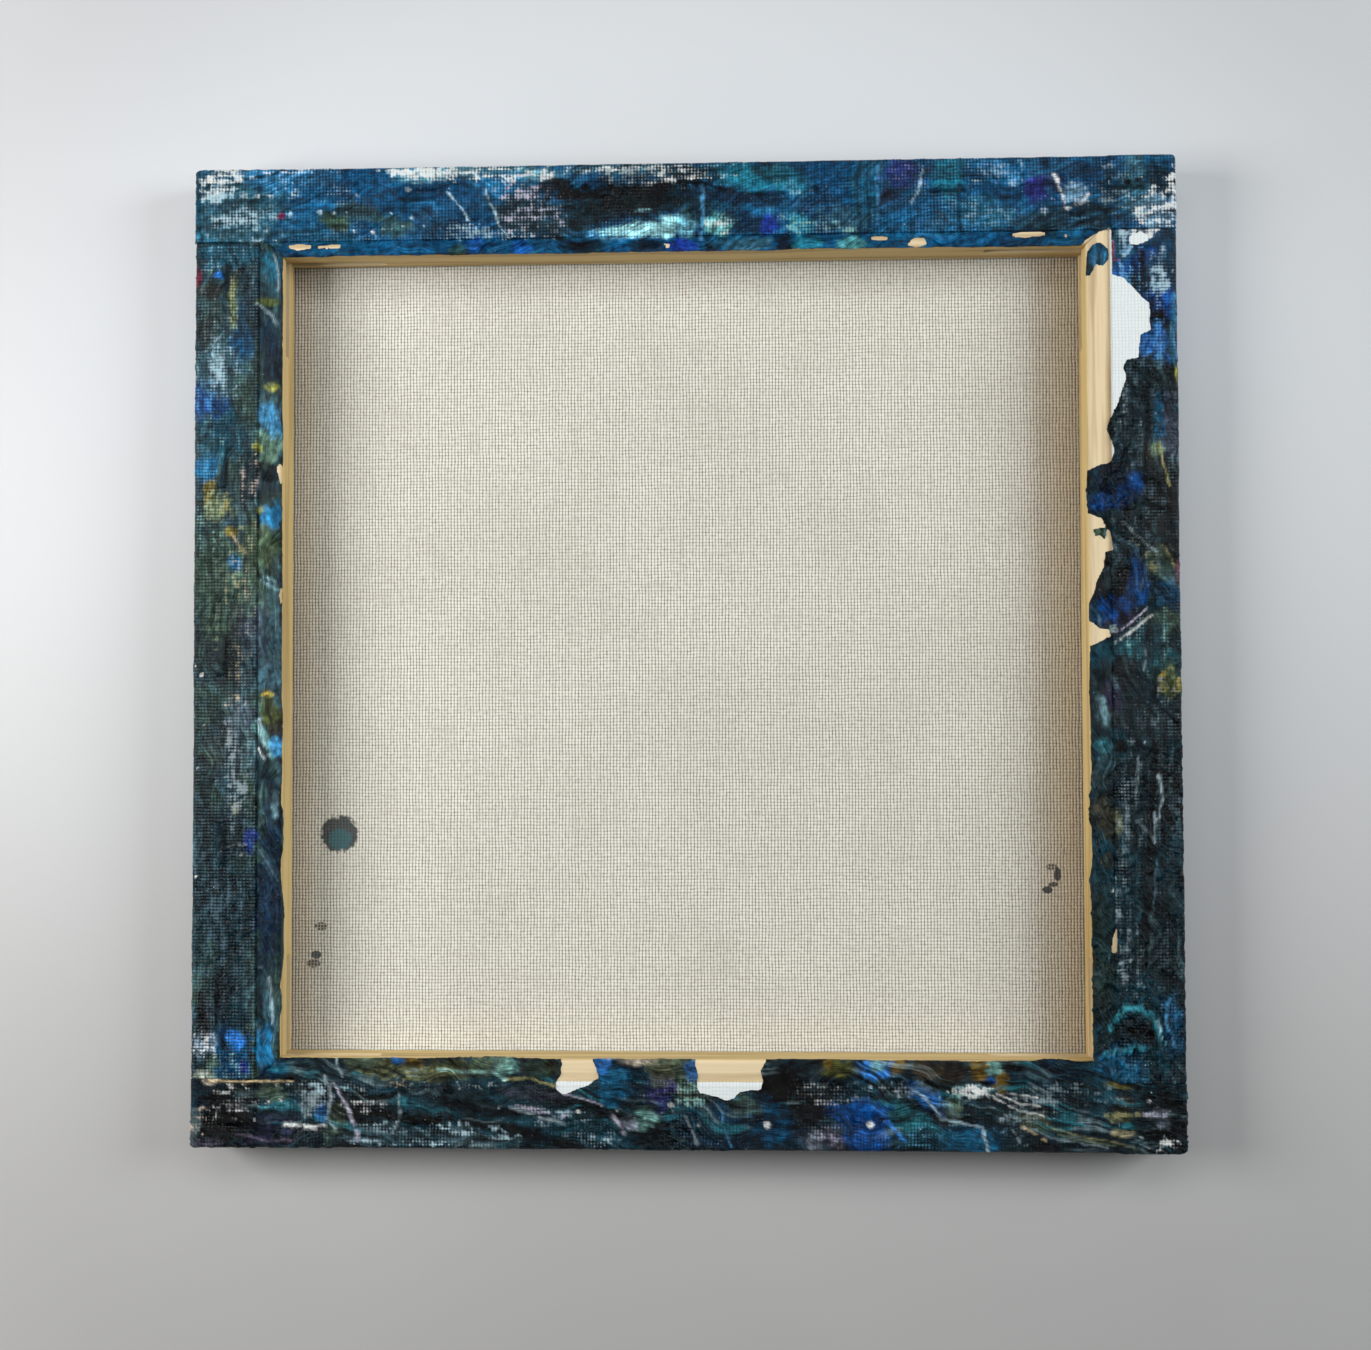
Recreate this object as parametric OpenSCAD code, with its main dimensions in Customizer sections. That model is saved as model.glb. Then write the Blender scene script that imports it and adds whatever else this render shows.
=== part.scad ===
// Stretched canvas, 300 x 300 mm, lying on its painted face.
// Four mitred pine stretcher bars, joined at the corners by tongues in slots, carry one
// sheet of primed canvas. It wraps round their outer faces and is stapled to their
// backs. A skin of dried acrylic covers the face, the edges, the turned-over flaps and
// most of the wood that the flaps leave bare.
//
// Frame: +Z points out of the back, +Y to the top edge, and the origin is the middle
// of the painted face, on the surface that the canvas lies on.

/* [Canvas] */
// Width and height of the finished canvas, over the paint
canvas_size = 300; // [200:10:500]
// Thickness of the primed cloth
cloth_t = 0.6; // [0.4:0.1:1]
// How far the top flap reaches in over the back, from the outer edge
flap_top = 23; // [16:0.5:24]
// How far the right flap reaches in
flap_right = 20.5; // [16:0.5:24]
// How far the bottom flap reaches in
flap_bottom = 21; // [16:0.5:24]
// How far the left flap reaches in
flap_left = 20; // [16:0.5:24]

/* [Stretcher bars] */
// Width of a bar, from its outer face to the window
bar_w = 26.5; // [26:0.5:40]
// Depth of a bar, from the lip to the back
bar_d = 16; // [15:0.5:20]
// Width of the lip that holds the cloth off the rest of the bar
lip_w = 4; // [2:0.5:8]
// How far the bevel has fallen away from the cloth at the inner edge
bevel_drop = 2.2; // [1:0.1:3]
// Radius of the eased edges of the back
edge_r = 1.2; // [0.5:0.1:2]

/* [Corner joints] */
// Thickness of a slot, which holds the next bar's tongue and has room for a key
slot_t = 3.9; // [3:0.1:3.9]
// Clearance round a tongue, and behind each face of the mitre
joint_gap = 0.1; // [0.05:0.05:0.3]
// How far a slot runs past the inner corner, along the inner face
slot_reach = 30; // [20:1:40]
// How far it has got there along the outer face
slot_reach_outer = 9; // [5:1:20]

/* [Staples] */
// Length of a staple's crown
crown_l = 11.2; // [9:0.1:13]
// Width of the flat wire
wire_w = 1.2; // [0.8:0.1:1.4]
// Thickness of the flat wire
wire_t = 0.5; // [0.4:0.1:0.6]
// How deep the legs go into the wood
leg_l = 6; // [4:0.5:8]
// Distance from the outer edge to a row of staples
staple_inset = 9; // [7:0.5:12]
// Number of staples in the top and bottom flaps
staples_long = 6; // [4:1:8]
// Number of staples in the right and left flaps
staples_short = 5; // [3:1:7]

/* [Paint] */
// Thickness of the paint on the face
face_paint_t = 0.5; // [0.3:0.1:1.5]
// Thickness of the paint on the edges
edge_paint_t = 0.3; // [0.2:0.1:0.5]
// Thickness of the paint on the back, which is level with the staples
back_paint_t = 0.5; // [0.4:0.1:0.8]

/* [Hidden] */

// The sides, clockwise when seen from behind
TOP = 0;
RIGHT = 1;
BOTTOM = 2;
LEFT = 3;
flaps = [flap_top, flap_right, flap_bottom, flap_left];

// Half sizes of the square outlines: over the paint, the cloth and the wood, and the
// window inside the bars
half = canvas_size / 2;
cloth_half = half - edge_paint_t;
frame_half = cloth_half - cloth_t;
window_half = frame_half - bar_w;

// Heights: both faces of the cloth, the middle of the corner joints, the wood's back,
// and the cloth on it, one layer thick along the flaps and two in the corners
cloth_z = face_paint_t;
bar_z = cloth_z + cloth_t;
joint_z = bar_z + bar_d / 2;
back_z = bar_z + bar_d;
flap_z = back_z + cloth_t;
corner_z = flap_z + cloth_t;

// The lip's edges are eased less than the back's
lip_r = 0.8;
arc_steps = 6;
// How far a tongue stops short of the outer face, so that it can't mark the cloth
tongue_trim = 0.4;
// Distance from the outer edge to the end staples in a row: the side flaps' rows stop
// where the top and bottom flaps begin to cover them
long_row_end = 15;
short_row_end = 35;
// Extra length that takes a cutter clear of what it cuts
past = 1;

// Patches that were never painted: on each side, [from, to, outer, inner], measured
// along the side from its middle, clockwise, and in from the outer edge
bare = [
    [],
    [[-126, -59, 20, 28], [-121, -82, 9, 24]],
    [[-24, -4, 16, 28], [27, 38, 17, 28]],
    []
];

pine = "#D9BE8C";
cloth = "#D8D2C0";
steel = "#B0B4B8";
face_blue = "#2E5C7E";
wrap_colours = ["#2B5F86", "#27455C", "#1F3440", "#2C5060"];

// Turns what is drawn at the top edge round to another side
module at_side(side) {
    rotate([0, 0, -90 * side]) children();
}

// A box given by its lowest and highest corners
module block(low, high) {
    translate(low) cube(high - low);
}

// Points of a quarter circle, from angle a0
function quarter(centre, r, a0) = [
    for (i = [0:arc_steps])
        let (a = a0 + 90 * i / arc_steps) centre + r * [cos(a), sin(a)]
];

// Section of a bar: x runs in from the outer face, and y up from the lip to the back
module bar_section() {
    polygon(concat(
        quarter([lip_r, lip_r], lip_r, 180),
        [[lip_w, 0], [bar_w, bevel_drop]],
        quarter([bar_w - edge_r, bar_d - edge_r], edge_r, 0),
        quarter([edge_r, bar_d - edge_r], edge_r, 90)
    ));
}

// The length of timber that the top bar is cut from, with square ends
module bar_blank() {
    translate([-frame_half, frame_half, bar_z])
        rotate([90, 0, 90])
            mirror([1, 0, 0])
                linear_extrude(height = 2 * frame_half) bar_section();
}

// What the mitre takes off the right-hand end
module mitre_waste() {
    reach = bar_w + past;
    translate([frame_half - joint_gap, frame_half, bar_z - past])
        linear_extrude(height = bar_d + 2 * past)
            polygon([[past, past], [-reach, -reach], [past, -reach]]);
}

// The tongue that stands in the corner past the mitre
module tongue_room(low) {
    block([window_half - past, window_half - past, low + joint_gap],
          [frame_half - tongue_trim, frame_half + past, low + slot_t - joint_gap]);
}

// The slot across the corner, with its slanting tail along the bar for a key
module slot_cut(low) {
    outside = frame_half + past;
    translate([0, 0, low])
        linear_extrude(height = slot_t)
            polygon([
                [outside, window_half - past],
                [window_half - slot_reach, window_half - past],
                [window_half - slot_reach, window_half],
                [window_half - slot_reach_outer, frame_half],
                [window_half - slot_reach_outer, outside],
                [outside, outside]
            ]);
}

// What is cut from the right-hand end, leaving a tongue beside a slot
module end_cut(tongue_low, slot_low) {
    difference() {
        mitre_waste();
        tongue_room(tongue_low);
    }
    slot_cut(slot_low);
}

// At one end the tongue is next to the face, at the other it is next to the back
module stretcher_bar(side) {
    color(pine)
        difference() {
            at_side(side)
                difference() {
                    bar_blank();
                    end_cut(joint_z - slot_t, joint_z);
                    mirror([1, 0, 0]) end_cut(joint_z, joint_z - slot_t);
                }
            all_staples();
        }
}

function is_long(side) = side == TOP || side == BOTTOM;
function row_end(side) = half - (is_long(side) ? long_row_end : short_row_end);
function row_count(side) = is_long(side) ? staples_long : staples_short;

// The end staples of the long rows go through the double cloth in the corners
function crown_z(side, x) =
    is_long(side) && abs(x) > half - flap_left ? corner_z : flap_z;

// A crown lying at height z, with two legs down into the wood
module staple(z) {
    for (s = [0, 1])
        mirror([s, 0, 0])
            block([crown_l / 2 - wire_t, -wire_w / 2, back_z - leg_l],
                  [crown_l / 2, wire_w / 2, z + wire_t]);
    block([-crown_l / 2, -wire_w / 2, z], [crown_l / 2, wire_w / 2, z + wire_t]);
}

module staple_row(side) {
    gaps = row_count(side) - 1;
    color(steel)
        at_side(side)
            for (i = [0:gaps]) {
                x = row_end(side) * (2 * i / gaps - 1);
                translate([x, half - staple_inset, 0]) staple(crown_z(side, x));
            }
}

module all_staples() {
    for (side = [TOP:LEFT]) staple_row(side);
}

// The canvas and its frame as one solid heap: the wood, the flaps on it, and the ends
// of the top and bottom flaps where they lie over the side flaps. Grown outwards by
// out and upwards by up, it is the surface of the paint.
module heap(out, up) {
    edge = cloth_half + out;
    right = half - flap_right - up;
    left = half - flap_left - up;
    top = half - flap_top - up;
    bottom = half - flap_bottom - up;
    block([-edge, -edge, cloth_z], [edge, edge, back_z + up]);
    difference() {
        block([-edge, -edge, cloth_z], [edge, edge, flap_z + up]);
        block([-left, -bottom, back_z - past], [right, top, flap_z + up + past]);
    }
    block([right, top, cloth_z], [edge, edge, corner_z + up]);
    block([-edge, top, cloth_z], [-left, edge, corner_z + up]);
    block([right, -edge, cloth_z], [edge, -bottom, corner_z + up]);
    block([-edge, -edge, cloth_z], [-left, -bottom, corner_z + up]);
}

module canvas_sheet() {
    color(cloth)
        difference() {
            heap(0, 0);
            block([-frame_half, -frame_half, bar_z], [frame_half, frame_half, back_z]);
            all_staples();
        }
}

module paint_front() {
    color(face_blue) block([-half, -half, 0], [half, half, cloth_z]);
}

// The part of the back that belongs to the top or bottom: the whole flap from corner
// to corner, and the strip of wood between the flap and the window
module long_zone(side) {
    edge = half - flaps[side];
    block([-half, edge, 0], [half, half, corner_z + past]);
    block([-window_half, window_half, 0], [window_half, edge, corner_z + past]);
}

// The part that belongs to the right or left: everything between the other two flaps
module short_zone(side) {
    before = half - (side == RIGHT ? flap_top : flap_bottom);
    after = half - (side == RIGHT ? flap_bottom : flap_top);
    block([-before, window_half, 0], [after, half, corner_z + past]);
}

module bare_patches(side) {
    for (b = bare[side])
        block([b[0], half - b[3], back_z - past], [b[1], half - b[2], corner_z + past]);
}

module paint_wrap(side) {
    color(wrap_colours[side])
        difference() {
            intersection() {
                heap(edge_paint_t, back_paint_t);
                at_side(side) {
                    if (is_long(side)) long_zone(side);
                    else short_zone(side);
                }
            }
            heap(0, 0);
            at_side(side) bare_patches(side);
            all_staples();
        }
}

stretcher_bar(TOP);  // bar_top
stretcher_bar(RIGHT);  // bar_right
stretcher_bar(BOTTOM);  // bar_bottom
stretcher_bar(LEFT);  // bar_left
canvas_sheet();
staple_row(TOP);  // staples_top
staple_row(RIGHT);  // staples_right
staple_row(BOTTOM);  // staples_bottom
staple_row(LEFT);  // staples_left
paint_front();
paint_wrap(TOP);  // paint_wrap_top
paint_wrap(RIGHT);  // paint_wrap_right
paint_wrap(BOTTOM);  // paint_wrap_bottom
paint_wrap(LEFT);  // paint_wrap_left
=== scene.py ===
"""The looks of a stretched canvas that lies on its painted face, seen from behind.

The pine bars and the staples are the CAD model's own. The cloth is one folded sheet, and
the paint is five skins of its own: one on the face, and one for each side, which runs up
the edge, over the flap and the bare wood, and down over the inner edge of the bar.

Shapes on a side are given in millimetres in that side's own places: u runs along it from
its middle, clockwise as seen from behind, and w runs in from the outer edge. Below the
outer edge w is negative, and past the inner edge it goes on down the bar's inner face.
"""

import math

import bmesh
import bpy
import numpy as np

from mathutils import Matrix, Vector


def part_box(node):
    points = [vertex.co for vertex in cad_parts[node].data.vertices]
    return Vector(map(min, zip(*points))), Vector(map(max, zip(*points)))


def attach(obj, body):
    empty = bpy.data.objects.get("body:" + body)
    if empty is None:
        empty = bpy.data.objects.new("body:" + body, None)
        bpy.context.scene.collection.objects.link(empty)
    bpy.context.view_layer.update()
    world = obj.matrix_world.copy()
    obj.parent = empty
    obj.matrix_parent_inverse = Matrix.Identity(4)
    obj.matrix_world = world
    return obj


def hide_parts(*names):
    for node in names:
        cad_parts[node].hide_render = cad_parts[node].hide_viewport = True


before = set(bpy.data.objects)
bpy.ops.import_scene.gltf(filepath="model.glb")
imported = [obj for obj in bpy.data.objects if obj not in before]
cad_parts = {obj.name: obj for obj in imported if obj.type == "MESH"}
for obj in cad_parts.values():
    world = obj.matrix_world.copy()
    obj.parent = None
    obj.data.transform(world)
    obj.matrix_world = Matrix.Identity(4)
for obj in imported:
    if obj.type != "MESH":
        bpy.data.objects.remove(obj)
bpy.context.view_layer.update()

# ---- sizes, in millimetres, from the frame ---------------------------------------------

MM = 0.001


def box_mm(node):
    """The lowest and highest corners of a CAD node, in millimetres."""
    low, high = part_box(node)
    return [c / MM for c in low], [c / MM for c in high]


cloth_low, cloth_high = box_mm("canvas_sheet")
bar_low, bar_high = box_mm("bar_top")
face_high = box_mm("paint_front")[1]

HALF = face_high[0]
CLOTH_HALF = cloth_high[0]
CLOTH_Z = cloth_low[2]
CLOTH_T = bar_low[2] - cloth_low[2]
FRAME_HALF = bar_high[1]
WINDOW = bar_low[1]
BAR_Z = bar_low[2]
BACK_Z = bar_high[2]
BAR_W = HALF - WINDOW

# The sides, clockwise from behind, and how far each flap reaches in
TOP, RIGHT, BOTTOM, LEFT = range(4)
SIDES = ("top", "right", "bottom", "left")
FLAPS = (23.0, 20.5, 21.0, 20.0)
# Rounding of the folded cloth's outer edge and corners, and of the bars' inner edge
FOLD_R = 1.5
ARRIS_R = 1.2
# The inner edge starts to turn down here
TURN_W = BAR_W - ARRIS_R
# Staples on each side, how far the end ones are from the corner, the row's distance from
# the outer edge, and half a crown's length
STAPLES = (6, 5, 6, 5)
ROW_END = (15.0, 35.0, 15.0, 35.0)
STAPLE_W = 9.0
CROWN = 5.6
# Spacing of the cloth's threads
WEAVE = 1.0
# How far down the bar's inner face the paint may hang
HANG = 11.0

# ---- noise -----------------------------------------------------------------------------


def value_noise(x, y, seed):
    """Smooth random values from -1 to 1 on a lattice with a spacing of 1."""
    size = 128
    table = np.random.default_rng(seed).random((size, size)) * 2 - 1
    xi = np.floor(x).astype(int)
    yi = np.floor(y).astype(int)
    fx = x - xi
    fy = y - yi
    sx = fx * fx * (3 - 2 * fx)
    sy = fy * fy * (3 - 2 * fy)
    left, right = xi % size, (xi + 1) % size
    front, back = yi % size, (yi + 1) % size
    low = table[left, front] * (1 - sx) + table[right, front] * sx
    high = table[left, back] * (1 - sx) + table[right, back] * sx
    return low * (1 - sy) + high * sy


def fbm(x, y, size, seed, octaves=4, fade=0.55):
    """Layered noise whose largest features are size across."""
    total = np.zeros(np.broadcast(x, y).shape)
    strength = 1.0
    whole = 0.0
    for i in range(octaves):
        turn = 0.6 * i
        px = (x * math.cos(turn) - y * math.sin(turn)) / size
        py = (x * math.sin(turn) + y * math.cos(turn)) / size
        total += strength * value_noise(px + 31.7 * i, py + 11.3 * i, seed + i)
        whole += strength
        strength *= fade
        size /= 2
    return total / whole


def smooth(low, high, x):
    """0 below low, 1 above high, and a smooth step between."""
    t = np.clip((x - low) / (high - low), 0, 1)
    return t * t * (3 - 2 * t)


# ---- colours ---------------------------------------------------------------------------


def linear(code):
    """A hex colour as linear red, green and blue."""
    parts = [int(code[i : i + 2], 16) / 255 for i in (0, 2, 4)]
    return np.array([c / 12.92 if c <= 0.04045 else ((c + 0.055) / 1.055) ** 2.4 for c in parts])


PALETTE = {
    name: linear(code)
    for name, code in {
        "ink": "040608",
        "charcoal": "11171A",
        "slate": "24343C",
        "steel": "4B6470",
        "fog": "8A9CA3",
        "white": "E2E6E5",
        "ice": "A9C6D2",
        "lilac": "B9B7CC",
        "mauve": "5C5466",
        "violet": "33296A",
        "plum": "2A1F3C",
        "navy": "0B1D30",
        "prussian": "0A466A",
        "cerulean": "1B638C",
        "sky": "4F94C4",
        "cobalt": "144E9A",
        "ultramarine": "1F2D80",
        "azure": "3884E0",
        "deep": "0B222A",
        "teal": "1E5468",
        "turquoise": "338696",
        "mint": "86B4AC",
        "moss": "3E4A3A",
        "sage": "66745F",
        "khaki": "86835A",
        "olive": "575426",
        "ochre": "8C6A28",
        "gold": "A8923C",
        "sand": "C2AE88",
        "flesh": "C8B2A2",
        "brown": "4F4030",
        "umber": "2E2620",
        "red": "9C2444",
        "rose": "8E4A58",
    }.items()
}

# Acrylic laid this thick looks darker than a thin coat of its colour, and each side leans
# to its own hue: gains for red, green and blue
DEPTHS = (
    (0.29, 0.6, 0.67),
    (0.24, 0.33, 0.33),
    (0.34, 0.39, 0.38),
    (0.48, 0.7, 0.74),
)
FACE_DEPTH = (0.5, 0.55, 0.6)
# Strokes and specks lie on top, and stay paler
TOP_COAT = 0.62

# ---- the painting on each side ---------------------------------------------------------
# A dab is (u, w, half length, half width, angle, colour, strength).

BASE = ("prussian", "deep", "deep", "slate")
PATCHES = (
    ("prussian", "teal", "prussian", "cerulean", "navy"),
    ("charcoal", "slate", "deep", "ink", "teal"),
    ("navy", "deep", "ink", "slate", "teal"),
    ("deep", "slate", "steel", "charcoal", "moss"),
)
FACE_PATCHES = (
    ("deep", "cerulean", "ink", "steel", "turquoise", "violet", "olive", "ice"),
    ("prussian", "khaki", "azure", "charcoal", "white"),
)
# Each side's sweep of the brush, two colours of its pale strands, and their amount
SWEEPS = (
    (0.25, ("steel", "sky"), 0.45),
    (0.3, ("slate", "fog"), 0.8),
    (-0.16, ("fog", "turquoise"), 1.0),
    (0.05, ("steel", "sage"), 0.5),
)
# How far the paint fills the weave on each side
FILLED = (0.3, 0.4, 0.6, 0.1)
# How wrinkled the thick paint is on each side
CRINKLE = (0.35, 1.4, 0.9, 0.5)

DABS = (
    # top
    (
        (-138, 13, 15, 14, 0, "steel", 0.9), (-149, 14, 2.5, 12, 0, "teal", 0.8),
        (-120, 3.5, 14, 3, 0, "sky", 0.7), (-95, 10, 26, 9, 0, "prussian", 0.6),
        (-112, 14, 10, 7, 0, "cerulean", 0.5), (-106, 17, 4, 3, 0, "olive", 0.8),
        (-98, 14, 8, 3, 10, "olive", 0.45), (-87, 19, 5, 3, 0, "olive", 0.5),
        (-123, 15, 1.0, 1.3, 0, "red", 1), (-80, 2.5, 9, 2.5, 0, "fog", 0.8),
        (-58, 2.2, 20, 2.6, 3, "fog", 0.9), (-68, 13, 9, 8, 0, "prussian", 0.8),
        (-54, 6, 8, 4, 0, "sky", 0.6), (-47, 14, 8, 8, 0, "slate", 0.9),
        (-35, 18, 14, 6, 0, "slate", 0.9), (-28, 13, 9, 5, 0, "deep", 0.9),
        (-12, 10, 24, 5, 3, "ink", 1), (-14, 14, 12, 4, 0, "charcoal", 0.9),
        (-37, 6.5, 6, 3, 0, "ink", 0.9), (-33, 20, 3, 4, 30, "ink", 0.8),
        (-12, 2, 22, 1.8, 0, "steel", 0.9), (-20, 22.5, 9, 1.6, 0, "sky", 0.9),
        (-13, 21.2, 12, 2.0, -4, "white", 1), (-4, 20.5, 4, 3, 0, "white", 1),
        (1, 19.5, 3, 4, 0, "ice", 0.9), (-11, 14.8, 2.2, 0.4, -8, "white", 1),
        (4, 4, 12, 3, 4, "charcoal", 0.8), (3, 14, 7, 6, 0, "deep", 0.9),
        (20, 5, 10, 4, 10, "turquoise", 0.7), (27, 3.5, 6, 3, 20, "charcoal", 0.8),
        (34, 6, 7, 4, 20, "turquoise", 0.5), (18, 11.5, 15, 1.8, 5, "navy", 0.9),
        (11, 20, 4, 4, 0, "mint", 0.8), (20, 19, 8, 5, 0, "navy", 0.8),
        (27, 19.5, 2.6, 3.8, 0, "ultramarine", 1), (37, 20, 4, 3, 0, "turquoise", 0.8),
        (47, 10, 9, 11, 0, "prussian", 0.8), (50, 18, 7, 5, 0, "steel", 0.6),
        (57, 10, 4, 11, 0, "teal", 0.6), (67, 4.5, 5, 4, 0, "violet", 0.8),
        (64, 11, 3, 3, 0, "plum", 0.8), (66, 20, 4, 4, 0, "cerulean", 0.8),
        (82, 7, 5, 7, 0, "turquoise", 0.6), (95, 5, 9, 4, 0, "cerulean", 0.9),
        (98, 11, 14, 3, 0, "prussian", 0.8), (92, 18, 9, 5, 0, "teal", 0.8),
        (108, 10, 3.5, 4.5, 0, "violet", 1), (113, 8, 3, 4, 0, "plum", 0.7),
        (120, 4, 8, 3, 0, "navy", 0.8), (119, 12, 5, 4, -20, "lilac", 0.6),
        (112, 19.5, 10, 3.5, -8, "slate", 0.8), (125, 18, 8, 4, 0, "deep", 0.9),
        (131, 10, 5, 6, 0, "slate", 0.7), (137, 10, 4, 9, 0, "steel", 0.9),
        (144, 8, 4, 7, 0, "deep", 0.8), (143, 18, 6, 5, 0, "lilac", 0.7),
        (135, 9, 1.2, 0.8, 0, "ink", 1), (138, 8.2, 0.8, 0.5, 0, "ink", 1),
        (136, 23, 5, 3, 0, "prussian", 0.9), (-60, 25.5, 60, 2.2, 0, "prussian", 0.7),
        (-68, 26, 3, 2, 0, "moss", 0.9), (-63, 25, 3, 2, 0, "cobalt", 0.8),
        (-48, 26, 3, 2, 0, "cobalt", 0.7), (-30, 26, 7, 2, 0, "deep", 0.9),
        (-10, 26, 5, 2, 0, "ink", 0.9), (1, 26, 4, 2, 0, "ultramarine", 0.9),
        (9, 26, 1.4, 2, 0, "ink", 1), (20, 26, 8, 2, 0, "steel", 0.8),
        (32, 26, 3, 2, 0, "ink", 0.9), (39, 26, 4, 2, 0, "turquoise", 0.8),
        (53, 26, 4, 2, 0, "mint", 0.7), (90, 26, 20, 2, 0, "prussian", 0.8),
    ),
    # right
    (
        (-128, 8, 5, 9, 0, "lilac", 0.8), (-124, 5, 8, 5, 0, "prussian", 0.9),
        (-120, 14, 7, 6, 0, "cerulean", 0.8), (-112, 6, 9, 5, 0, "prussian", 0.8),
        (-117, 12, 2.6, 7, -40, "cobalt", 0.9), (-113, 17, 4, 3, 0, "azure", 0.9),
        (-104, 5, 5, 4, 0, "cobalt", 1), (-99, 5.8, 3, 2.6, 0, "ink", 1),
        (-92, 6, 6, 5.5, 0, "azure", 0.95), (-95, 1.5, 12, 1.3, 0, "sky", 0.9),
        (-80, 7, 8, 8, 0, "charcoal", 1), (-83, 0.8, 3, 0.5, 0, "gold", 1),
        (-81, 14, 6, 3, 0, "slate", 0.8), (-68, 3, 11, 2.4, 0, "mauve", 0.8),
        (-69, 6.2, 9, 1.5, 0, "cerulean", 0.8), (-62, 9.8, 14, 1.2, 0, "ink", 1),
        (-61, 7.6, 2.8, 2.2, 0, "khaki", 1), (-68, 15, 10, 5, 0, "slate", 0.8),
        (-50, 7, 9, 7, 0, "charcoal", 0.9), (-52, 20, 6, 8, 0, "navy", 0.95),
        (-48, 16, 3, 6, -35, "cobalt", 0.8), (-44.5, 24, 2.6, 3, 0, "cobalt", 0.9),
        (-38, 13, 9, 8, 0, "charcoal", 0.8), (-25, 6, 5, 6, 0, "moss", 0.8),
        (-23, 0.8, 4, 1.0, 0, "rose", 1), (-16, 4.5, 4, 4.5, 0, "prussian", 1),
        (-14, 7, 1.8, 1.5, 0, "sky", 0.7), (-20, 13.6, 7, 2.6, 5, "cobalt", 1),
        (-13, 20, 6, 5, 35, "cobalt", 1), (-11, 25.4, 4, 2.4, 0, "prussian", 0.9),
        (-21, 18.8, 6, 1.8, 0, "ink", 1), (-28, 22, 5, 1.4, 10, "ink", 1),
        (-7.5, 18, 2.6, 7, -25, "plum", 0.8), (-6.2, 20.4, 1.2, 1.0, 30, "white", 1),
        (-7, 6, 4, 5, 0, "sage", 0.7), (-1, 10, 5, 6, 0, "teal", 0.6),
        (0, 16, 3, 5, 0, "turquoise", 0.6), (3, 6, 4, 5, 0, "turquoise", 0.5),
        (9, 4.5, 5.4, 4, 0, "olive", 0.9), (9, 4, 3.4, 2.6, 0, "khaki", 0.6),
        (18, 6, 6, 4, 0, "slate", 0.7), (14, 13, 10, 6, 0, "slate", 0.6),
        (2, 23, 4, 4.5, 0, "teal", 0.7), (6, 18, 5, 4, 0, "ink", 0.8),
        (14, 20.5, 4, 2.6, 0, "plum", 0.9), (18, 23.4, 5, 1.6, -15, "ice", 0.7),
        (28.5, 18.6, 2, 1.8, 0, "ink", 1), (28.5, 23.5, 2.2, 2.6, 10, "turquoise", 0.8),
        (46, 6, 18, 5, 0, "charcoal", 0.8), (44, 14, 18, 5, 0, "slate", 0.5),
        (50, 23.3, 6, 2.6, 0, "brown", 0.8), (52, 19.3, 4, 1.2, 0, "sand", 0.5),
        (63, 23, 3, 2, 0, "brown", 0.7), (84, 6, 14, 7, 0, "deep", 0.8),
        (58, 9.8, 30, 1.0, 1, "ink", 0.9), (82, 11, 10, 1.2, 6, "ink", 0.9),
        (90, 16, 12, 4, 0, "slate", 0.6), (90, 24, 22, 3, 0, "moss", 0.35),
        (112, 4, 9, 3.4, 0, "prussian", 0.9), (108, 13, 5, 7, 0, "teal", 0.7),
        (113, 15, 4, 3.4, 0, "ink", 0.9), (124, 11, 5, 5, 0, "teal", 0.7),
        (125, 20, 5, 7, 0, "cerulean", 0.9), (-35, 24, 2.2, 2.2, 0, "sage", 1),
        (-119.5, 23.5, 4.5, 3.5, 0, "cerulean", 1), (-118, 24, 2, 1.6, 30, "sky", 0.7),
    ),
    # bottom
    (
        (-144, 9, 8, 12, 0, "ink", 0.9), (-142, 11, 4, 2.4, 20, "lilac", 0.5),
        (-131, 6.2, 3, 1.1, 0, "sand", 1), (-132, 8.6, 2, 1, 0, "turquoise", 0.8),
        (-129, 14.5, 4.6, 4.2, 0, "umber", 1), (-130, 11, 4, 1.8, 0, "khaki", 0.7),
        (-130, 20.6, 4, 1.1, 0, "gold", 1), (-125, 16, 4, 5, 0, "teal", 0.6),
        (-131, 25, 7, 4, 0, "cerulean", 0.95), (-135, 25, 1.6, 4, 0, "ice", 0.5),
        (-110, 14, 12, 6, 0, "deep", 0.8), (-100, 11, 7, 7, 0, "slate", 0.9),
        (-105, 9, 5, 2.6, 20, "olive", 0.6), (-108, 24, 13, 3, 0, "navy", 0.8),
        (-105, 24, 5, 2, 10, "steel", 0.7), (-98, 26, 3, 2, 0, "ink", 1),
        (-95, 21.5, 1.8, 3, 0, "ochre", 1), (-92.6, 26, 2.4, 2.6, 0, "mint", 1),
        (-92.5, 21.8, 1.6, 0.9, 20, "cobalt", 1), (-88, 25, 3.2, 3.4, 0, "ochre", 1),
        (-80, 24, 6, 4, 0, "umber", 1), (-87, 19, 5, 1.8, 0, "fog", 0.8),
        (-79, 14, 4, 3, 0, "sage", 0.7), (-75, 17, 3, 2, 0, "cobalt", 0.8),
        (-83, 5, 9, 4.6, 0, "cerulean", 1), (-70, 6, 9, 5, 0, "teal", 0.8),
        (-65, 11, 9, 3, 20, "turquoise", 0.6), (-73, 16, 6, 2.6, 30, "azure", 0.6),
        (-56, 6, 7, 8, -25, "cobalt", 1), (-49, 12, 8, 3, 20, "cobalt", 0.9),
        (-73, 25, 4, 3, 0, "brown", 0.9), (-64, 26, 2.6, 2.4, 0, "ochre", 0.7),
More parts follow.
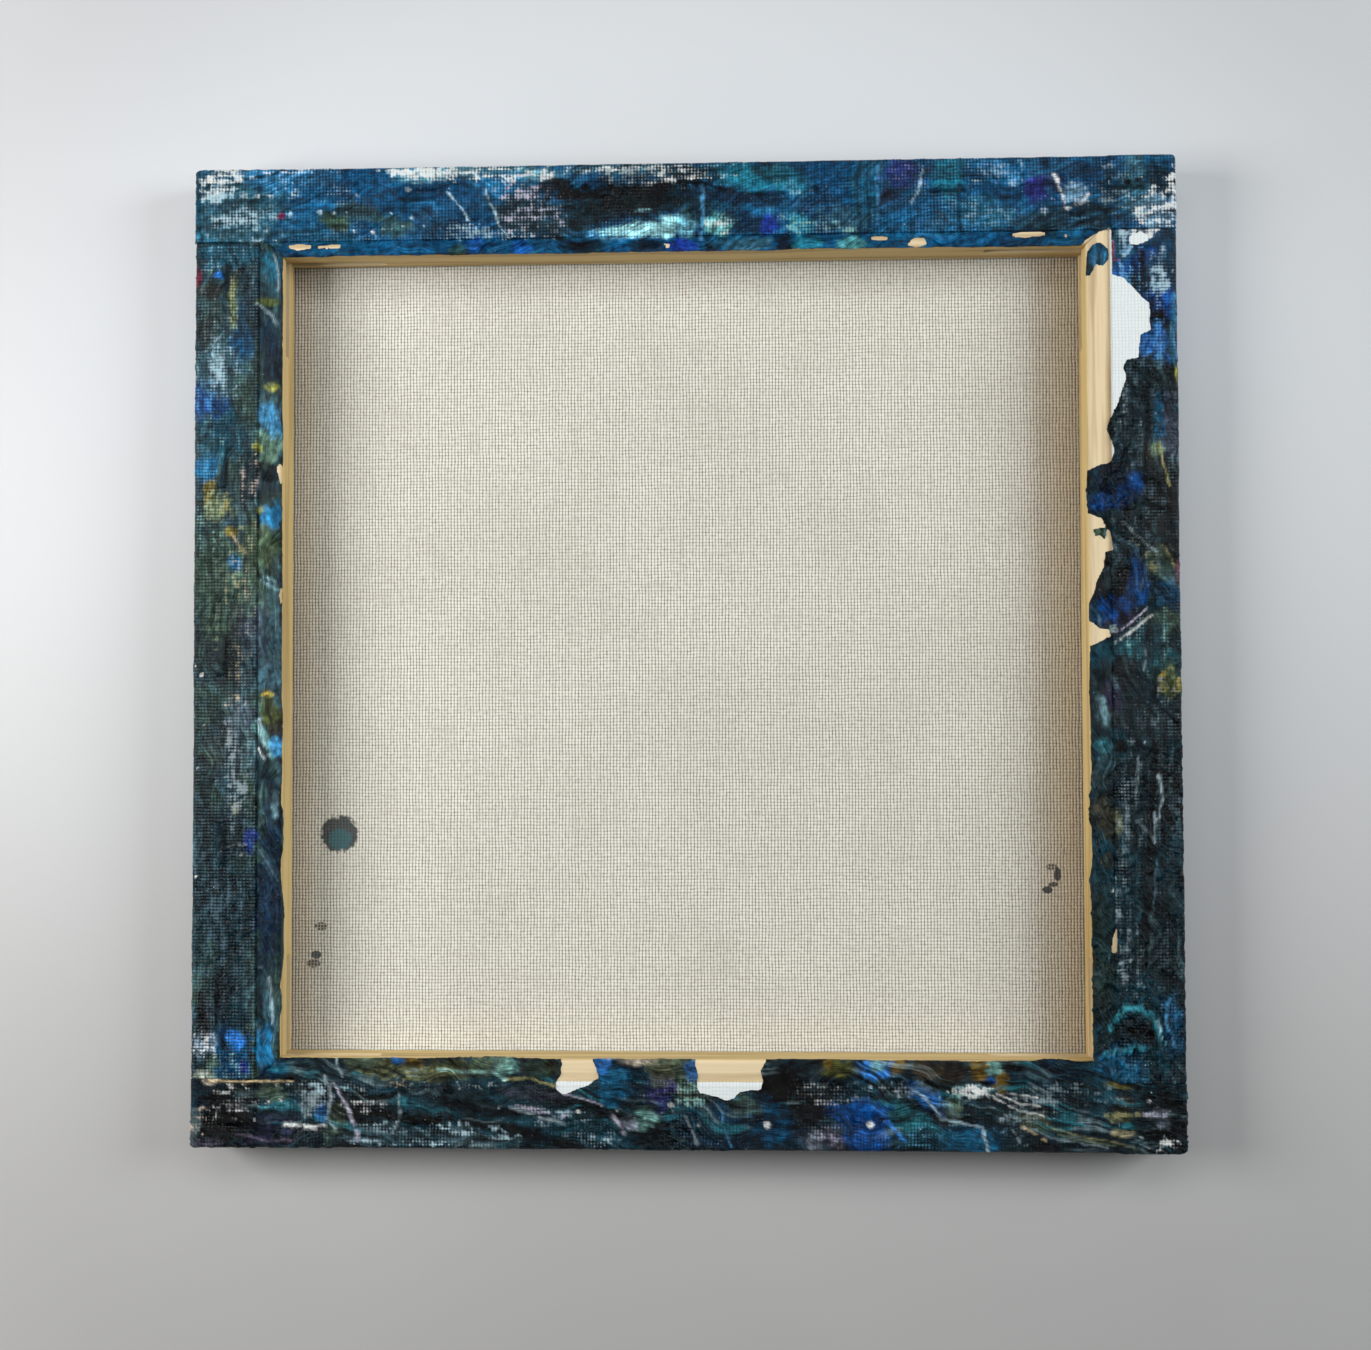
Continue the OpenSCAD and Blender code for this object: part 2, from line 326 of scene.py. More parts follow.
        (-56, 25, 5, 3, 0, "azure", 0.9), (-58, 26.4, 2, 1.6, 0, "mint", 0.7),
        (-46, 25, 6, 3, 0, "olive", 0.9), (-44, 26.5, 1.4, 1.4, 0, "ochre", 0.9),
        (-44, 4, 4, 4.4, 0, "mauve", 0.7), (-37, 3.5, 4, 3, 0, "lilac", 0.4),
        (-39, 13, 7, 4.4, 0, "ink", 0.9), (-30, 20, 7, 7, 0, "ink", 1),
        (-38, 24, 4, 4, 0, "slate", 0.8), (-32, 5, 4, 4, 0, "navy", 0.9),
        (-25, 9, 5, 7, 0, "prussian", 0.8), (-10, 7, 12, 7, 0, "navy", 0.9),
        (-15, 12, 6, 3, 0, "prussian", 0.6), (-19, 13.5, 4, 3, 0, "sage", 0.5),
        (-2, 18.5, 5, 4, 0, "sage", 0.8), (0, 25, 5, 4, 0, "sage", 0.8),
        (-3, 24, 2.2, 3, 0, "azure", 0.7), (9, 6, 6, 4, 0, "ink", 0.9),
        (11, 10.5, 3.4, 3, 0, "mint", 0.7), (16, 9, 3, 2, 0, "lilac", 0.7),
        (8, 18, 5, 4.4, 0, "violet", 0.9), (15, 19, 4, 6, 0, "navy", 0.9),
        (21, 19, 4.6, 5.4, 0, "cerulean", 1), (24, 25, 3, 3, 0, "azure", 0.9),
        (6, 24, 5, 4, 0, "khaki", 0.6), (14, 27.2, 4.6, 2, 0, "flesh", 1),
        (21.5, 28, 3, 1, 0, "lilac", 0.9), (25, 12, 11, 1.6, 12, "ink", 1),
        (33, 7, 14, 4.6, 12, "teal", 0.5), (55, 7, 15, 1.8, 12, "ink", 0.9),
        (60, 13, 18, 2, 9, "ink", 0.9), (67, 4, 14, 3.6, 6, "steel", 0.7),
        (45, 17, 10, 2, 10, "mauve", 0.5), (72, 18, 12, 2, 0, "slate", 0.8),
        (42, 25, 6, 3, 0, "moss", 1), (39, 25, 2, 3, 0, "umber", 0.8),
        (53, 25, 3.4, 2.6, 0, "mint", 0.9), (61, 25, 6, 3, 0, "sage", 1),
        (72, 25, 9, 3, 0, "olive", 0.9), (72, 24, 8, 1.6, 0, "khaki", 0.7),
        (88, 4, 13, 3, 0, "steel", 0.8), (80, 9.4, 10, 1.4, 3, "ink", 1),
        (95, 12, 9, 6, 0, "charcoal", 0.8), (86, 24, 12, 3, 0, "khaki", 0.9),
        (81.5, 26.6, 3, 1.4, 0, "ochre", 1), (86.6, 27, 1.9, 1.2, 0, "azure", 1),
        (97, 26, 5, 2, 0, "sage", 0.8), (104, 9, 3, 6, 10, "sage", 0.6),
        (109, 11, 1.6, 4, -20, "azure", 0.6), (114, 14, 3, 4, 0, "fog", 0.6),
        (109, 22.5, 9, 3.4, 10, "slate", 0.9), (128, 6, 11, 5, 0, "plum", 0.7),
        (140, 9, 9, 9, 0, "ink", 1), (148.5, 6, 1.6, 6, 0, "fog", 0.8),
        (145, 1.6, 5, 1.8, 0, "mauve", 0.8), (135, 15, 7, 4, 0, "charcoal", 0.9),
        (125, 17, 4, 3, 0, "sage", 0.6), (125, 25, 4, 4, 0, "prussian", 0.9),
        (134, 26, 4.4, 4, 0, "cobalt", 0.95), (143, 20.6, 3, 1.3, 0, "flesh", 0.9),
    ),
    # left
    (
        (-128, 5, 2, 3, 0, "flesh", 0.9), (-124, 12, 5, 5, 0, "sage", 0.6),
        (-120, 14, 8, 5, 0, "prussian", 1), (-116.5, 14, 2.4, 2.6, 0, "azure", 1),
        (-125, 16.5, 2, 1.3, 0, "ultramarine", 1), (-118, 5, 3, 4, 0, "lilac", 0.7),
        (-109, 4.5, 9, 3, 0, "ink", 1), (-118, 23.5, 8, 3, 0, "cerulean", 1),
        (-128, 24, 3, 4, 0, "navy", 1), (-106, 24, 5, 2, 0, "steel", 0.8),
        (-104, 13, 9, 6, 0, "deep", 0.9), (-99, 22, 8, 2, 0, "slate", 0.8),
        (-80, 10, 17, 11, 0, "deep", 1), (-76, 24, 20, 4, 0, "navy", 1),
        (-50, 9, 14, 9, 0, "deep", 0.8), (-57, 18, 3, 2, 0, "ultramarine", 0.6),
        (-47, 13.6, 2.2, 1.0, 0, "ochre", 0.8), (-30, 8, 7, 4, 0, "umber", 0.5),
        (-19, 15, 5, 5, 0, "mauve", 0.4), (-50, 24, 12, 3, 0, "navy", 0.9),
        (-46, 25.5, 4, 1, 0, "fog", 0.5), (-21, 25, 6, 3, 0, "umber", 1),
        (-17, 24, 5, 2.6, 0, "olive", 0.8), (-26, 22.2, 6, 1.3, -25, "mint", 0.9),
        (-28, 26, 3, 2, 0, "sky", 0.8), (-12, 24, 1.2, 1.8, 0, "gold", 1),
        (-6, 24, 5, 3, 0, "steel", 0.8), (2, 8, 9, 9, 0, "charcoal", 0.8),
        (20, 9, 15, 9, 0, "moss", 0.8), (12, 18, 13, 4, 0, "mauve", 0.4),
        (26, 18, 12, 5, 0, "sage", 0.6), (28, 13.6, 2.2, 2.0, 0, "cerulean", 1),
        (37, 12, 1.5, 1.6, 0, "ochre", 1), (34, 20, 8, 6, 0, "olive", 0.4),
        (45, 8.5, 4, 4, 0, "khaki", 0.8), (50, 5, 4, 1.8, 0, "ochre", 0.8),
        (44.6, 21.4, 1.0, 1.9, 0, "gold", 1), (42.5, 24, 4, 3.4, 0, "cerulean", 0.9),
        (22.5, 24, 1.2, 3.4, 40, "fog", 0.8), (57, 3.4, 4, 4, 0, "cerulean", 1),
        (55, 9.4, 6, 1.6, 0, "deep", 1), (54, 17, 5, 5, 0, "slate", 0.8),
        (57, 23, 3, 3, 0, "charcoal", 0.9), (64.5, 23, 4.6, 3.6, 0, "sage", 0.9),
        (63, 20, 1.2, 1.4, 0, "gold", 0.9), (67, 10, 9, 7, 0, "teal", 0.8),
        (72, 24, 5, 3, 0, "sky", 0.6), (78, 5, 5, 6, 0, "cobalt", 0.7),
        (82, 24.4, 1.2, 2.2, 0, "gold", 1), (88, 8, 9, 7, 0, "steel", 0.7),
        (98, 15, 11, 3.6, 0, "prussian", 0.9), (98, 3.4, 4, 4, 0, "umber", 0.6),
        (112, 4, 2.4, 5, 0, "umber", 0.9), (117.4, 0.8, 3, 1.2, 0, "red", 0.9),
        (116.4, 8, 1.3, 1.3, 0, "azure", 1), (108, 12.2, 8, 1.6, 0, "khaki", 0.8),
        (108, 16.4, 10, 1.8, 0, "slate", 0.8), (92, 23.5, 10, 3, 0, "navy", 0.8),
        (108.5, 23, 1.4, 3, 0, "olive", 0.9), (119, 24, 6, 3, 0, "teal", 0.9),
        (123, 11, 4, 9, 0, "teal", 0.9), (78, 16, 12, 4, 0, "moss", 0.5),
    ),
)

# Dry brushing that only caught the tops of the weave, in the same form as the dabs
DRY = (
    (
        (-142, 5, 8, 5, 0, "white", 0.95), (-136, 14, 12, 9, 0, "ice", 0.6),
        (-118, 3, 16, 3, 0, "white", 0.5), (-105, 6, 5, 5, 30, "ice", 0.5),
        (-104, 21, 18, 3, 0, "ice", 0.4), (-80, 2.4, 10, 2.4, 0, "white", 0.85),
        (-60, 2.6, 18, 2.8, 3, "white", 0.9), (-60, 21, 20, 3, 0, "ice", 0.5),
        (-46, 13, 9, 8, 0, "lilac", 0.6), (-12, 1.8, 24, 2, 0, "white", 0.7),
        (-10, 4.5, 14, 2, 0, "fog", 0.5), (4, 4, 10, 3, 0, "white", 0.5),
        (32, 5, 10, 5, 20, "ice", 0.45), (11, 20, 4, 4, 0, "white", 0.5),
        (44, 20, 12, 4, 0, "mint", 0.55), (67, 5, 6, 5, 0, "lilac", 0.4),
        (95, 4, 10, 4, 0, "ice", 0.5), (92, 18, 12, 5, 0, "ice", 0.4),
        (119, 12, 7, 5, -20, "white", 0.5), (131, 10, 6, 8, 0, "fog", 0.5),
        (143, 17, 7, 7, 0, "white", 0.85), (149, 11, 1.6, 11, 0, "white", 1),
        (118, 20, 14, 3, 0, "sky", 0.35), (57, 10, 5, 11, 0, "sky", 0.3),
    ),
    (
        (-129, 9, 5, 9, 0, "white", 0.9), (-122, 17, 7, 3, 0, "ice", 0.7),
        (-112, 10, 7, 7, -30, "sky", 0.7), (-112, 5, 10, 3, 0, "ice", 0.5),
        (-92, 6, 7, 5, 0, "sky", 0.6), (-80, 12, 8, 6, 0, "steel", 0.5),
        (-66, 16, 12, 4, 0, "fog", 0.45), (-48, 6, 10, 6, 0, "steel", 0.4),
        (-36, 13, 10, 8, 0, "steel", 0.5), (-24, 6, 5, 7, 0, "khaki", 0.5),
        (-2, 9, 8, 8, 0, "mint", 0.5), (9, 4.4, 5, 3.6, 0, "gold", 0.7),
        (18, 8, 8, 6, 0, "fog", 0.4), (45, 7, 22, 6, 0, "steel", 0.5),
        (45, 15, 22, 4, 0, "fog", 0.45), (72, 18, 14, 3, 0, "fog", 0.5),
        (84, 7, 16, 7, 0, "steel", 0.4), (90, 16, 14, 4, 0, "fog", 0.55),
        (112, 5, 10, 4, 0, "sky", 0.4), (126, 12, 5, 8, 0, "turquoise", 0.4),
    ),
    (
        (-144, 3.5, 4, 2.4, 0, "white", 0.8), (-141, 11, 5, 3, 20, "lilac", 0.7),
        (-130, 11.5, 4, 3, 0, "khaki", 0.6), (-112, 17, 13, 4, 0, "fog", 0.6),
        (-101, 11, 7, 7, 20, "fog", 0.6), (-87, 19, 6, 2, 0, "white", 0.8),
        (-80, 14, 5, 4, 0, "mint", 0.5), (-66, 19, 7, 3, 0, "fog", 0.7),
        (-72, 5, 8, 5, 0, "sky", 0.4), (-44, 18, 12, 4, 0, "white", 0.4),
        (-44, 4, 5, 4, 0, "lilac", 0.5), (-2, 18, 5, 5, 0, "mint", 0.6),
        (10, 18, 8, 5, 0, "lilac", 0.3), (35, 7, 14, 5, 12, "ice", 0.5),
        (45, 11, 10, 1.6, 14, "lilac", 0.7), (66, 4, 16, 4, 6, "ice", 0.6),
        (70, 19.4, 16, 1.2, 0, "white", 0.5), (90, 4, 12, 3, 0, "ice", 0.6),
        (96, 15, 5, 4, 0, "white", 0.5), (87, 19.4, 4, 0.8, 0, "sand", 0.9),
        (114, 14, 5, 5, 0, "fog", 0.7), (110, 19, 12, 1.5, 0, "ice", 0.6),
        (136, 14, 8, 5, 0, "white", 0.55), (148, 6, 2, 7, 0, "flesh", 0.8),
        (20, 20, 4, 5, 0, "sky", 0.3), (-10, 6, 12, 6, 0, "sky", 0.25),
    ),
    (
        (-124, 12, 6, 5, 0, "mint", 0.6), (-118, 5, 4, 4, 0, "white", 0.6),
        (-107, 5.5, 8, 3, 0, "mauve", 0.5), (-85, 11, 22, 9, 0, "steel", 0.5),
        (-50, 8, 16, 8, 0, "steel", 0.45), (-32, 15, 18, 5, 0, "fog", 0.6),
        (0, 15, 16, 5, 0, "sand", 0.45), (18, 8, 16, 8, 0, "sage", 0.55),
        (20, 18, 16, 5, 0, "sand", 0.5), (45, 9, 5, 4, 0, "gold", 0.6),
        (38, 5, 12, 5, 0, "mint", 0.35), (54, 17, 6, 6, 0, "flesh", 0.5),
        (67, 9, 9, 8, 0, "mint", 0.45), (72, 24, 6, 3, 0, "ice", 0.5),
        (88, 8, 10, 7, 0, "ice", 0.5), (110, 12, 8, 2, 0, "sand", 0.6),
        (112, 20, 10, 3, 0, "ice", 0.4), (122, 9, 5, 8, 0, "ice", 0.4),
        (100, 4, 12, 4, 0, "fog", 0.4), (78, 5, 5, 6, 0, "sky", 0.5),
    ),
)

# A stroke is ((points), width, colour, strength, height): a ridge, or a groove where the
# height is below zero
STROKES = (
    (
        (((-71.5, 8.5), (-68, 12.5), (-65, 17)), 0.5, "ice", 0.9, 0.25),
        (((-60, 8), (-57, 14), (-54.5, 20), (-52, 23)), 0.5, "ice", 0.9, 0.25),
        (((6.5, 8), (6.8, 16), (6.5, 24)), 0.9, "sky", 0.7, 0.35),
        (((42, 2), (41.6, 10), (42.2, 19)), 0.8, "deep", 0.7, 0.3),
        (((54.5, 1), (54.2, 12), (54.6, 24)), 0.9, "deep", 0.8, 0.4),
        (((57.4, 4), (57.2, 14), (57.4, 22)), 0.8, "navy", 0.8, 0.4),
        (((60, 2), (60.4, 10), (60, 20)), 0.6, "sky", 0.5, 0.2),
        (((74, 3), (72, 10), (70, 14)), 0.6, "ice", 0.6, 0.2),
        (((85, 1), (84.6, 12), (85, 24)), 0.9, "navy", 0.8, 0.4),
        (((113, 6), (115, 12), (116, 16.4), (121, 15), (124, 12)), 0.7, "white", 0.8, 0.25),
        (((-149, 1.5), (-148.4, 10), (-147.4, 22)), 0.6, "navy", 0.8, -0.35),
        (((0, 6.2), (8, 7.2), (13, 9.6)), 1.0, "ink", 0.9, 0.2),
    ),
    (
        (((28, 8.6), (44, 9.2), (58, 9.8), (70, 10.8), (82, 12), (95, 12.6)), 1.0, "ink", 1, -0.3),
        (((61, 10), (72, 11), (85, 12.2)), 1.9, "ink", 1, -0.35),
        (((37, 7.4), (44, 6.8), (50, 7.6)), 0.5, "fog", 0.8, 0.3),
        (((63, 8), (70, 8.6), (78, 9.6)), 0.5, "steel", 0.8, 0.3),
        (((-34, 20), (-30, 14), (-24, 11), (-18, 13)), 0.7, "steel", 0.8, 0.35),
        (((-106, 7.4), (-101, 7.8), (-96.5, 8.2)), 0.6, "ink", 1, 0.3),
        (((-56, 6.4), (-50, 4), (-44, 2.4), (-43, 6), (-44, 11)), 0.6, "ink", 1, 0.3),
        (((-64, 6.4), (-56, 5.6), (-49, 3.2)), 0.5, "khaki", 0.9, 0.25),
        (((-44, 14), (-36, 9), (-30, 4), (-25, 1.5)), 0.7, "ink", 0.9, 0.3),
        (((-31, 6), (-27, 3), (-24, 2)), 0.5, "khaki", 0.7, 0.2),
        (((-38, 17), (-33, 12), (-29, 7)), 0.5, "fog", 0.6, 0.2),
        (((-12, 11), (-9, 14), (-6, 18)), 0.5, "lilac", 0.8, 0.25),
        (((-10, 9), (-6, 14), (-3, 18), (-2, 20)), 0.6, "white", 0.6, 0.25),
        (((0, 10.6), (3, 10.9), (6, 11.4)), 0.6, "fog", 0.8, 0.3),
        (((22, 1), (18, 6), (14, 9), (6, 8)), 0.7, "ink", 0.9, 0.3),
        (((1, 21), (8, 17), (16, 11), (20, 8)), 0.6, "ink", 0.8, 0.25),
        (((37, 8), (41, 7), (46, 6.4)), 0.5, "fog", 0.8, 0.25),
        (((32, 13.6), (37, 13.8), (43, 14.2)), 0.5, "fog", 0.7, 0.2),
        (((48, 8.8), (53, 9), (58, 9.2)), 0.4, "fog", 0.7, 0.2),
        (((51, 14.2), (53, 12), (56, 9.6)), 0.5, "fog", 0.6, 0.2),
        (((69, 14), (71, 17), (73, 19)), 0.6, "steel", 0.8, 0.2),
        (((118, 7), (111, 9), (106.5, 13), (107, 19), (113, 22.5)), 1.4, "turquoise", 0.9, 0.35),
        (((104, 5), (111, 6.2), (118, 3.6)), 0.7, "sky", 0.7, 0.25),
        (((110, 9), (114, 8), (117.5, 7)), 0.5, "ice", 0.9, 0.25),
        (((118.5, 11), (119.5, 17), (120.5, 24)), 1.2, "turquoise", 0.7, 0.3),
        (((-123, 19.4), (-117.6, 19.2), (-117.8, 17)), 0.3, "red", 0.9, 0),
    ),
    (
        (((-137, 1.4), (-124, 3), (-112, 6)), 0.5, "sage", 0.7, 0.25),
        (((-134, 2.6), (-122, 4.4), (-110, 8)), 0.4, "khaki", 0.6, 0.25),
        (((-126, 2), (-112, 4.6), (-101, 8)), 0.5, "fog", 0.5, 0.25),
        (((-108, 4.4), (-104, 6), (-101, 8)), 0.6, "sand", 0.6, 0.3),
        (((-120, 8.4), (-114, 10), (-108, 10.6)), 0.5, "turquoise", 0.5, 0.25),
        (((-107, 11), (-100, 13), (-93, 17)), 0.4, "white", 0.6, 0.2),
        (((-106, 14), (-100, 15.4), (-94, 18)), 0.4, "white", 0.6, 0.2),
        (((-105, 16.6), (-101, 17.6), (-97, 18)), 0.4, "white", 0.6, 0.2),
        (((-100, 4), (-97, 8), (-96, 12)), 0.5, "fog", 0.6, 0.2),
        (((-90, 1), (-90, 5), (-89, 8), (-84, 9.4), (-77, 11)), 0.6, "ice", 0.7, 0.3),
        (((-66, 4), (-62, 9), (-57, 13)), 0.9, "azure", 0.7, 0.3),
        (((-76, 12), (-72, 17), (-68, 19)), 0.7, "ice", 0.6, 0.3),
        (((-51, 2), (-50, 7), (-47, 12)), 0.8, "navy", 0.9, 0.25),
        (((-14, 2), (-13, 6), (-12, 12)), 0.5, "sky", 0.5, 0.15),
        (((-4, 3), (-3, 6), (-1, 10)), 0.7, "fog", 0.5, 0.2),
        (((17.4, 5.6), (18.6, 8), (20.6, 10.4)), 1.0, "lilac", 0.9, 0.3),
        (((12, 10.4), (20, 12), (28, 14.6), (34, 17)), 0.9, "ink", 1, 0.35),
        (((24, 14), (30, 16), (36, 17)), 0.5, "lilac", 0.6, 0.25),
        (((36, 8), (44, 10), (52, 13)), 0.8, "fog", 0.7, 0.25),
        (((39, 19.6), (46, 21.6), (53, 21)), 0.7, "khaki", 0.9, 0.3),
        (((53, 21), (58, 23.6), (66, 23.8), (74, 24.6)), 0.7, "mint", 0.8, 0.3),
        (((60, 22.4), (68, 22.8), (76, 21.6)), 0.8, "charcoal", 0.8, 0.3),
        (((48.4, 23), (48.2, 26), (48.6, 28)), 0.7, "umber", 0.8, 0.2),
        (((65.6, 24), (66, 26), (65.6, 28)), 0.8, "umber", 0.8, 0.2),
        (((56.6, 24), (56.4, 26), (56.8, 28)), 0.5, "steel", 0.8, 0.2),
        (((75, 24), (75.4, 26), (75, 28)), 0.6, "umber", 0.8, 0.2),
        (((88, 5), (86, 9), (85.6, 17)), 0.5, "fog", 0.8, 0.3),
        (((84, 22), (90, 24.4), (98, 25), (103, 22)), 0.9, "charcoal", 0.9, 0.35),
        (((98, 3), (100, 8), (102, 14), (106, 20)), 0.9, "lilac", 0.7, 0.3),
        (((104, 5), (107, 9), (107, 16), (109, 22)), 0.8, "fog", 0.7, 0.3),
        (((96, 9), (100, 12), (104, 18)), 0.7, "charcoal", 0.8, 0.25),
        (((108, 7), (111, 6.4), (117, 7), (121, 7.4)), 1.0, "white", 0.95, 0.35),
        (((119, 3), (126, 2.6), (136, 5)), 0.6, "mauve", 0.8, 0.2),
        (((118, 20.2), (126, 20.4), (136, 20), (144, 20.2)), 0.5, "sand", 0.8, 0.25),
        (((103, 22), (104.6, 25), (105, 27)), 0.6, "ice", 0.5, 0.2),
    ),
    (
        (((-130, 2), (-130, 12), (-129.4, 20), (-129.6, 27)), 0.6, "fog", 0.7, 0.3),
        (((-112, 25.6), (-106, 25.6), (-98, 24.4)), 0.7, "ice", 0.6, 0.3),
        (((-112, 8.8), (-104, 8.2), (-97, 8.4)), 0.7, "ink", 1, 0.3),
        (((-98, 24), (-95, 22), (-95, 19)), 0.5, "steel", 0.7, 0.2),
        (((-60, 21), (-64, 24), (-67, 26)), 0.7, "steel", 0.8, 0.25),
        (((-59, 11), (-58, 14), (-58, 17)), 0.4, "fog", 0.7, 0.2),
        (((-33, 23.6), (-31, 21.6), (-29.4, 20.6)), 0.5, "white", 0.8, 0.25),
        (((-31, 24), (-26, 21.6), (-20, 20.6)), 0.9, "ice", 0.7, 0.3),
        (((-12.4, 22), (-11.6, 24), (-12, 25.6)), 0.7, "gold", 1, 0.3),
        (((30, 17), (34, 14), (37, 12)), 0.6, "sand", 0.7, 0.25),
        (((21, 26.6), (23, 23), (25, 20.4)), 0.8, "charcoal", 0.9, -0.2),
        (((48.6, 11), (48.4, 18), (48.6, 27)), 0.5, "charcoal", 0.8, -0.2),
        (((90, 10), (91, 6.6), (94, 5.6), (97, 8)), 0.5, "ice", 0.6, 0.25),
        (((104, 12), (106, 9), (112, 9.6), (119, 9)), 0.6, "deep", 0.9, 0.3),
        (((102, 26), (105, 24), (108, 20)), 0.7, "ice", 0.5, 0.2),
        (((112, 26), (118, 25.6), (123, 24.8)), 0.6, "fog", 0.8, 0.25),
        (((126.4, 4), (126.8, 10), (126, 17)), 0.6, "navy", 0.9, -0.2),
        (((121, 19), (124, 18.6), (126, 18.2)), 0.5, "ink", 1, -0.2),
    ),
)

# Small blobs that stand proud: (u, w, size, colour)
SPECKS = (
    (
        (-120, 14, 0.6, "ice"), (-110.8, 14, 1.0, "ice"), (-106.4, 14.4, 0.6, "ice"),
        (-102.6, 14.2, 0.5, "ice"), (-99.6, 9, 0.6, "ice"), (-88.8, 14.6, 0.5, "ice"),
        (-82.4, 16.2, 0.6, "ice"), (-85, 18.8, 0.5, "ice"), (-94.4, 20.4, 0.7, "white"),
        (-83.6, 7.4, 1.1, "fog"), (-78.4, 19, 0.4, "ice"), (-100.4, 20, 0.5, "ice"),
    ),
    (
        (-108.6, 9.8, 0.4, "ink"), (-71.6, 21.6, 0.6, "white"), (71.8, 21.4, 0.5, "white"),
        (92.6, 16.6, 0.8, "fog"), (-5.6, 19.6, 0.7, "lilac"), (27.8, 11.6, 0.5, "fog"),
    ),
    (
        (-56, 8.4, 1.3, "white"), (-25.2, 8.2, 1.4, "white"), (-4.6, 8, 0.7, "fog"),
        (3.6, 13.9, 0.9, "white"), (31.6, 12, 0.7, "white"), (-56.2, 19.6, 0.6, "ice"),
        (20, 12, 0.4, "white"), (-138.4, 16.4, 0.4, "white"), (-136, 5.4, 0.6, "fog"),
        (88.4, 29.6, 0.5, "ice"), (-46, 3.4, 0.4, "fog"), (-79, 18.2, 0.5, "white"),
    ),
    (
        (-6.4, 3, 0.8, "white"), (-21.4, 3.8, 0.4, "white"), (-61, 15.6, 0.5, "white"),
        (-35, 2, 0.4, "white"), (-3.8, 1, 0.4, "white"), (-67.8, 1.6, 0.4, "white"),
    ),
)

# Where there is no paint, as outlines, and the paint that lies inside such a place
BARE = (
    (
        ((-122, 24.3), (-118, 23.6), (-113.5, 24.2), (-114, 25), (-118, 25.6)),
        ((-113, 24.4), (-108, 24), (-104.6, 24), (-105, 25), (-109, 25.3), (-112.4, 25)),
        ((-34, 25.1), (-29, 24.9), (-23.6, 25.1), (-29, 25.6)),
        ((-5, 25.2), (-3.2, 25.2), (-3.2, 26.6), (-4.6, 26.6)),
        ((55.6, 24.2), (61, 23.9), (65.4, 24.6), (61, 25.2)),
        ((69, 26.6), (71, 24.6), (74, 24.6), (75.2, 26.6), (72, 27.6)),
        ((98.4, 24.4), (103, 23.4), (109, 23.2), (112.4, 24), (108, 24.8), (103, 24.8)),
        ((114.4, 24.4), (117, 24.2), (120, 24.6), (117, 25)),
        ((120.6, 28.4), (122.4, 26), (126, 24), (129.6, 22.6), (131, 23.6), (129, 34), (121, 34)),
    ),
    (
        (
            (-128, 19.8), (-113.4, 19.6), (-112, 16), (-109.6, 13.6), (-106.4, 11),
            (-104.4, 8.6), (-96.4, 8.4), (-95, 11.4), (-88, 12), (-87.4, 15.6), (-85, 16.8),
            (-82, 15.6), (-78, 17.2), (-74, 18.4), (-70, 20.6), (-66.6, 21.8), (-63, 20.4),
            (-60, 19.4), (-56.6, 20.6), (-55.6, 24), (-54.4, 26.6), (-54, 34), (-130, 34),
            (-131, 22),
        ),
        ((-126.2, 11), (-125, 8.4), (-123.4, 8.6), (-122.2, 12), (-122.4, 14.2), (-124.6, 14.4)),
        (
            (-42, 34), (-41, 26.6), (-39.6, 23.4), (-35, 20.8), (-30, 20.2), (-29.4, 22.4),
            (-25, 23), (-20.6, 25), (-16.6, 26.2), (-13.6, 27.8), (-13.6, 34),
        ),
        ((-9.4, 34), (-8.6, 26.6), (-6.4, 24.4), (-6, 21.6), (-4.4, 21), (-3, 23.4), (-1.2, 27), (0, 34)),
        ((83, 20.4), (87, 20.2), (90.6, 20.4), (90.4, 21.8), (86, 21.6)),
    ),
    (
        (
            (-24, 20.6), (-23.4, 18.6), (-17.4, 18), (-15.2, 15.8), (-13, 15.2), (-10, 16.6),
            (-5, 17.4), (-4, 19.4), (-4.6, 22.6), (-3.8, 26), (-3.8, 34), (-25.4, 34),
            (-25, 27), (-23.6, 24),
        ),
        (
            (25.4, 21.8), (29, 19.4), (33, 18), (36, 16.8), (38.4, 18.6), (38, 21), (36.6, 23),
            (36.8, 28), (36.8, 34), (27.6, 34), (27.2, 27), (26, 24),
        ),
    ),
    (
        ((-130, 25), (-129, 24.6), (-128.4, 30), (-130, 30)),
        ((52.4, 27), (55, 26.2), (57.6, 25.8), (58.6, 26.6), (58, 27.8), (53, 27.8)),
        ((15.6, 27.2), (18.4, 26.4), (20.6, 27.2), (20, 28.2), (16, 28.2)),
    ),
)

ISLANDS = (
    (),
    (
        ((-123, 22.6), (-121.4, 20.8), (-118, 20.6), (-116, 22.2), (-116.6, 24.2), (-113.2, 26.4),
         (-113.4, 27.4), (-120.6, 27), (-122.6, 25)),
        ((-36.8, 22.6), (-35, 22), (-33, 22.6), (-34.4, 24), (-34.2, 25.6), (-36.4, 25.6)),
    ),
    (),
    (),
)

# How far the paint reaches over the inner edge, as (u, half length, extra reach) on top
# of what it has everywhere
OVERHANGS = (
    ((-30, 20, 0.3), (20, 14, 0.4)),
    ((12, 9, 0.5), (47, 6, 1.2), (70, 6, 1.4), (-50, 6, 0.6)),
    ((60, 20, 0.5), (-40, 12, 0.4), (-110, 7, 0.5)),
    ((-85, 17, 3.2), (-54, 9, 2.2), (-106, 5, 1.0), (-22, 8, 0.8), (-35, 6, 0.4)),
)

# ---- the shape of a side ---------------------------------------------------------------

# The straight part of a side ends here, and its outer fold is over at TURN_OUT
STRAIGHT = CLOTH_HALF - FOLD_R
TURN_OUT = HALF - STRAIGHT
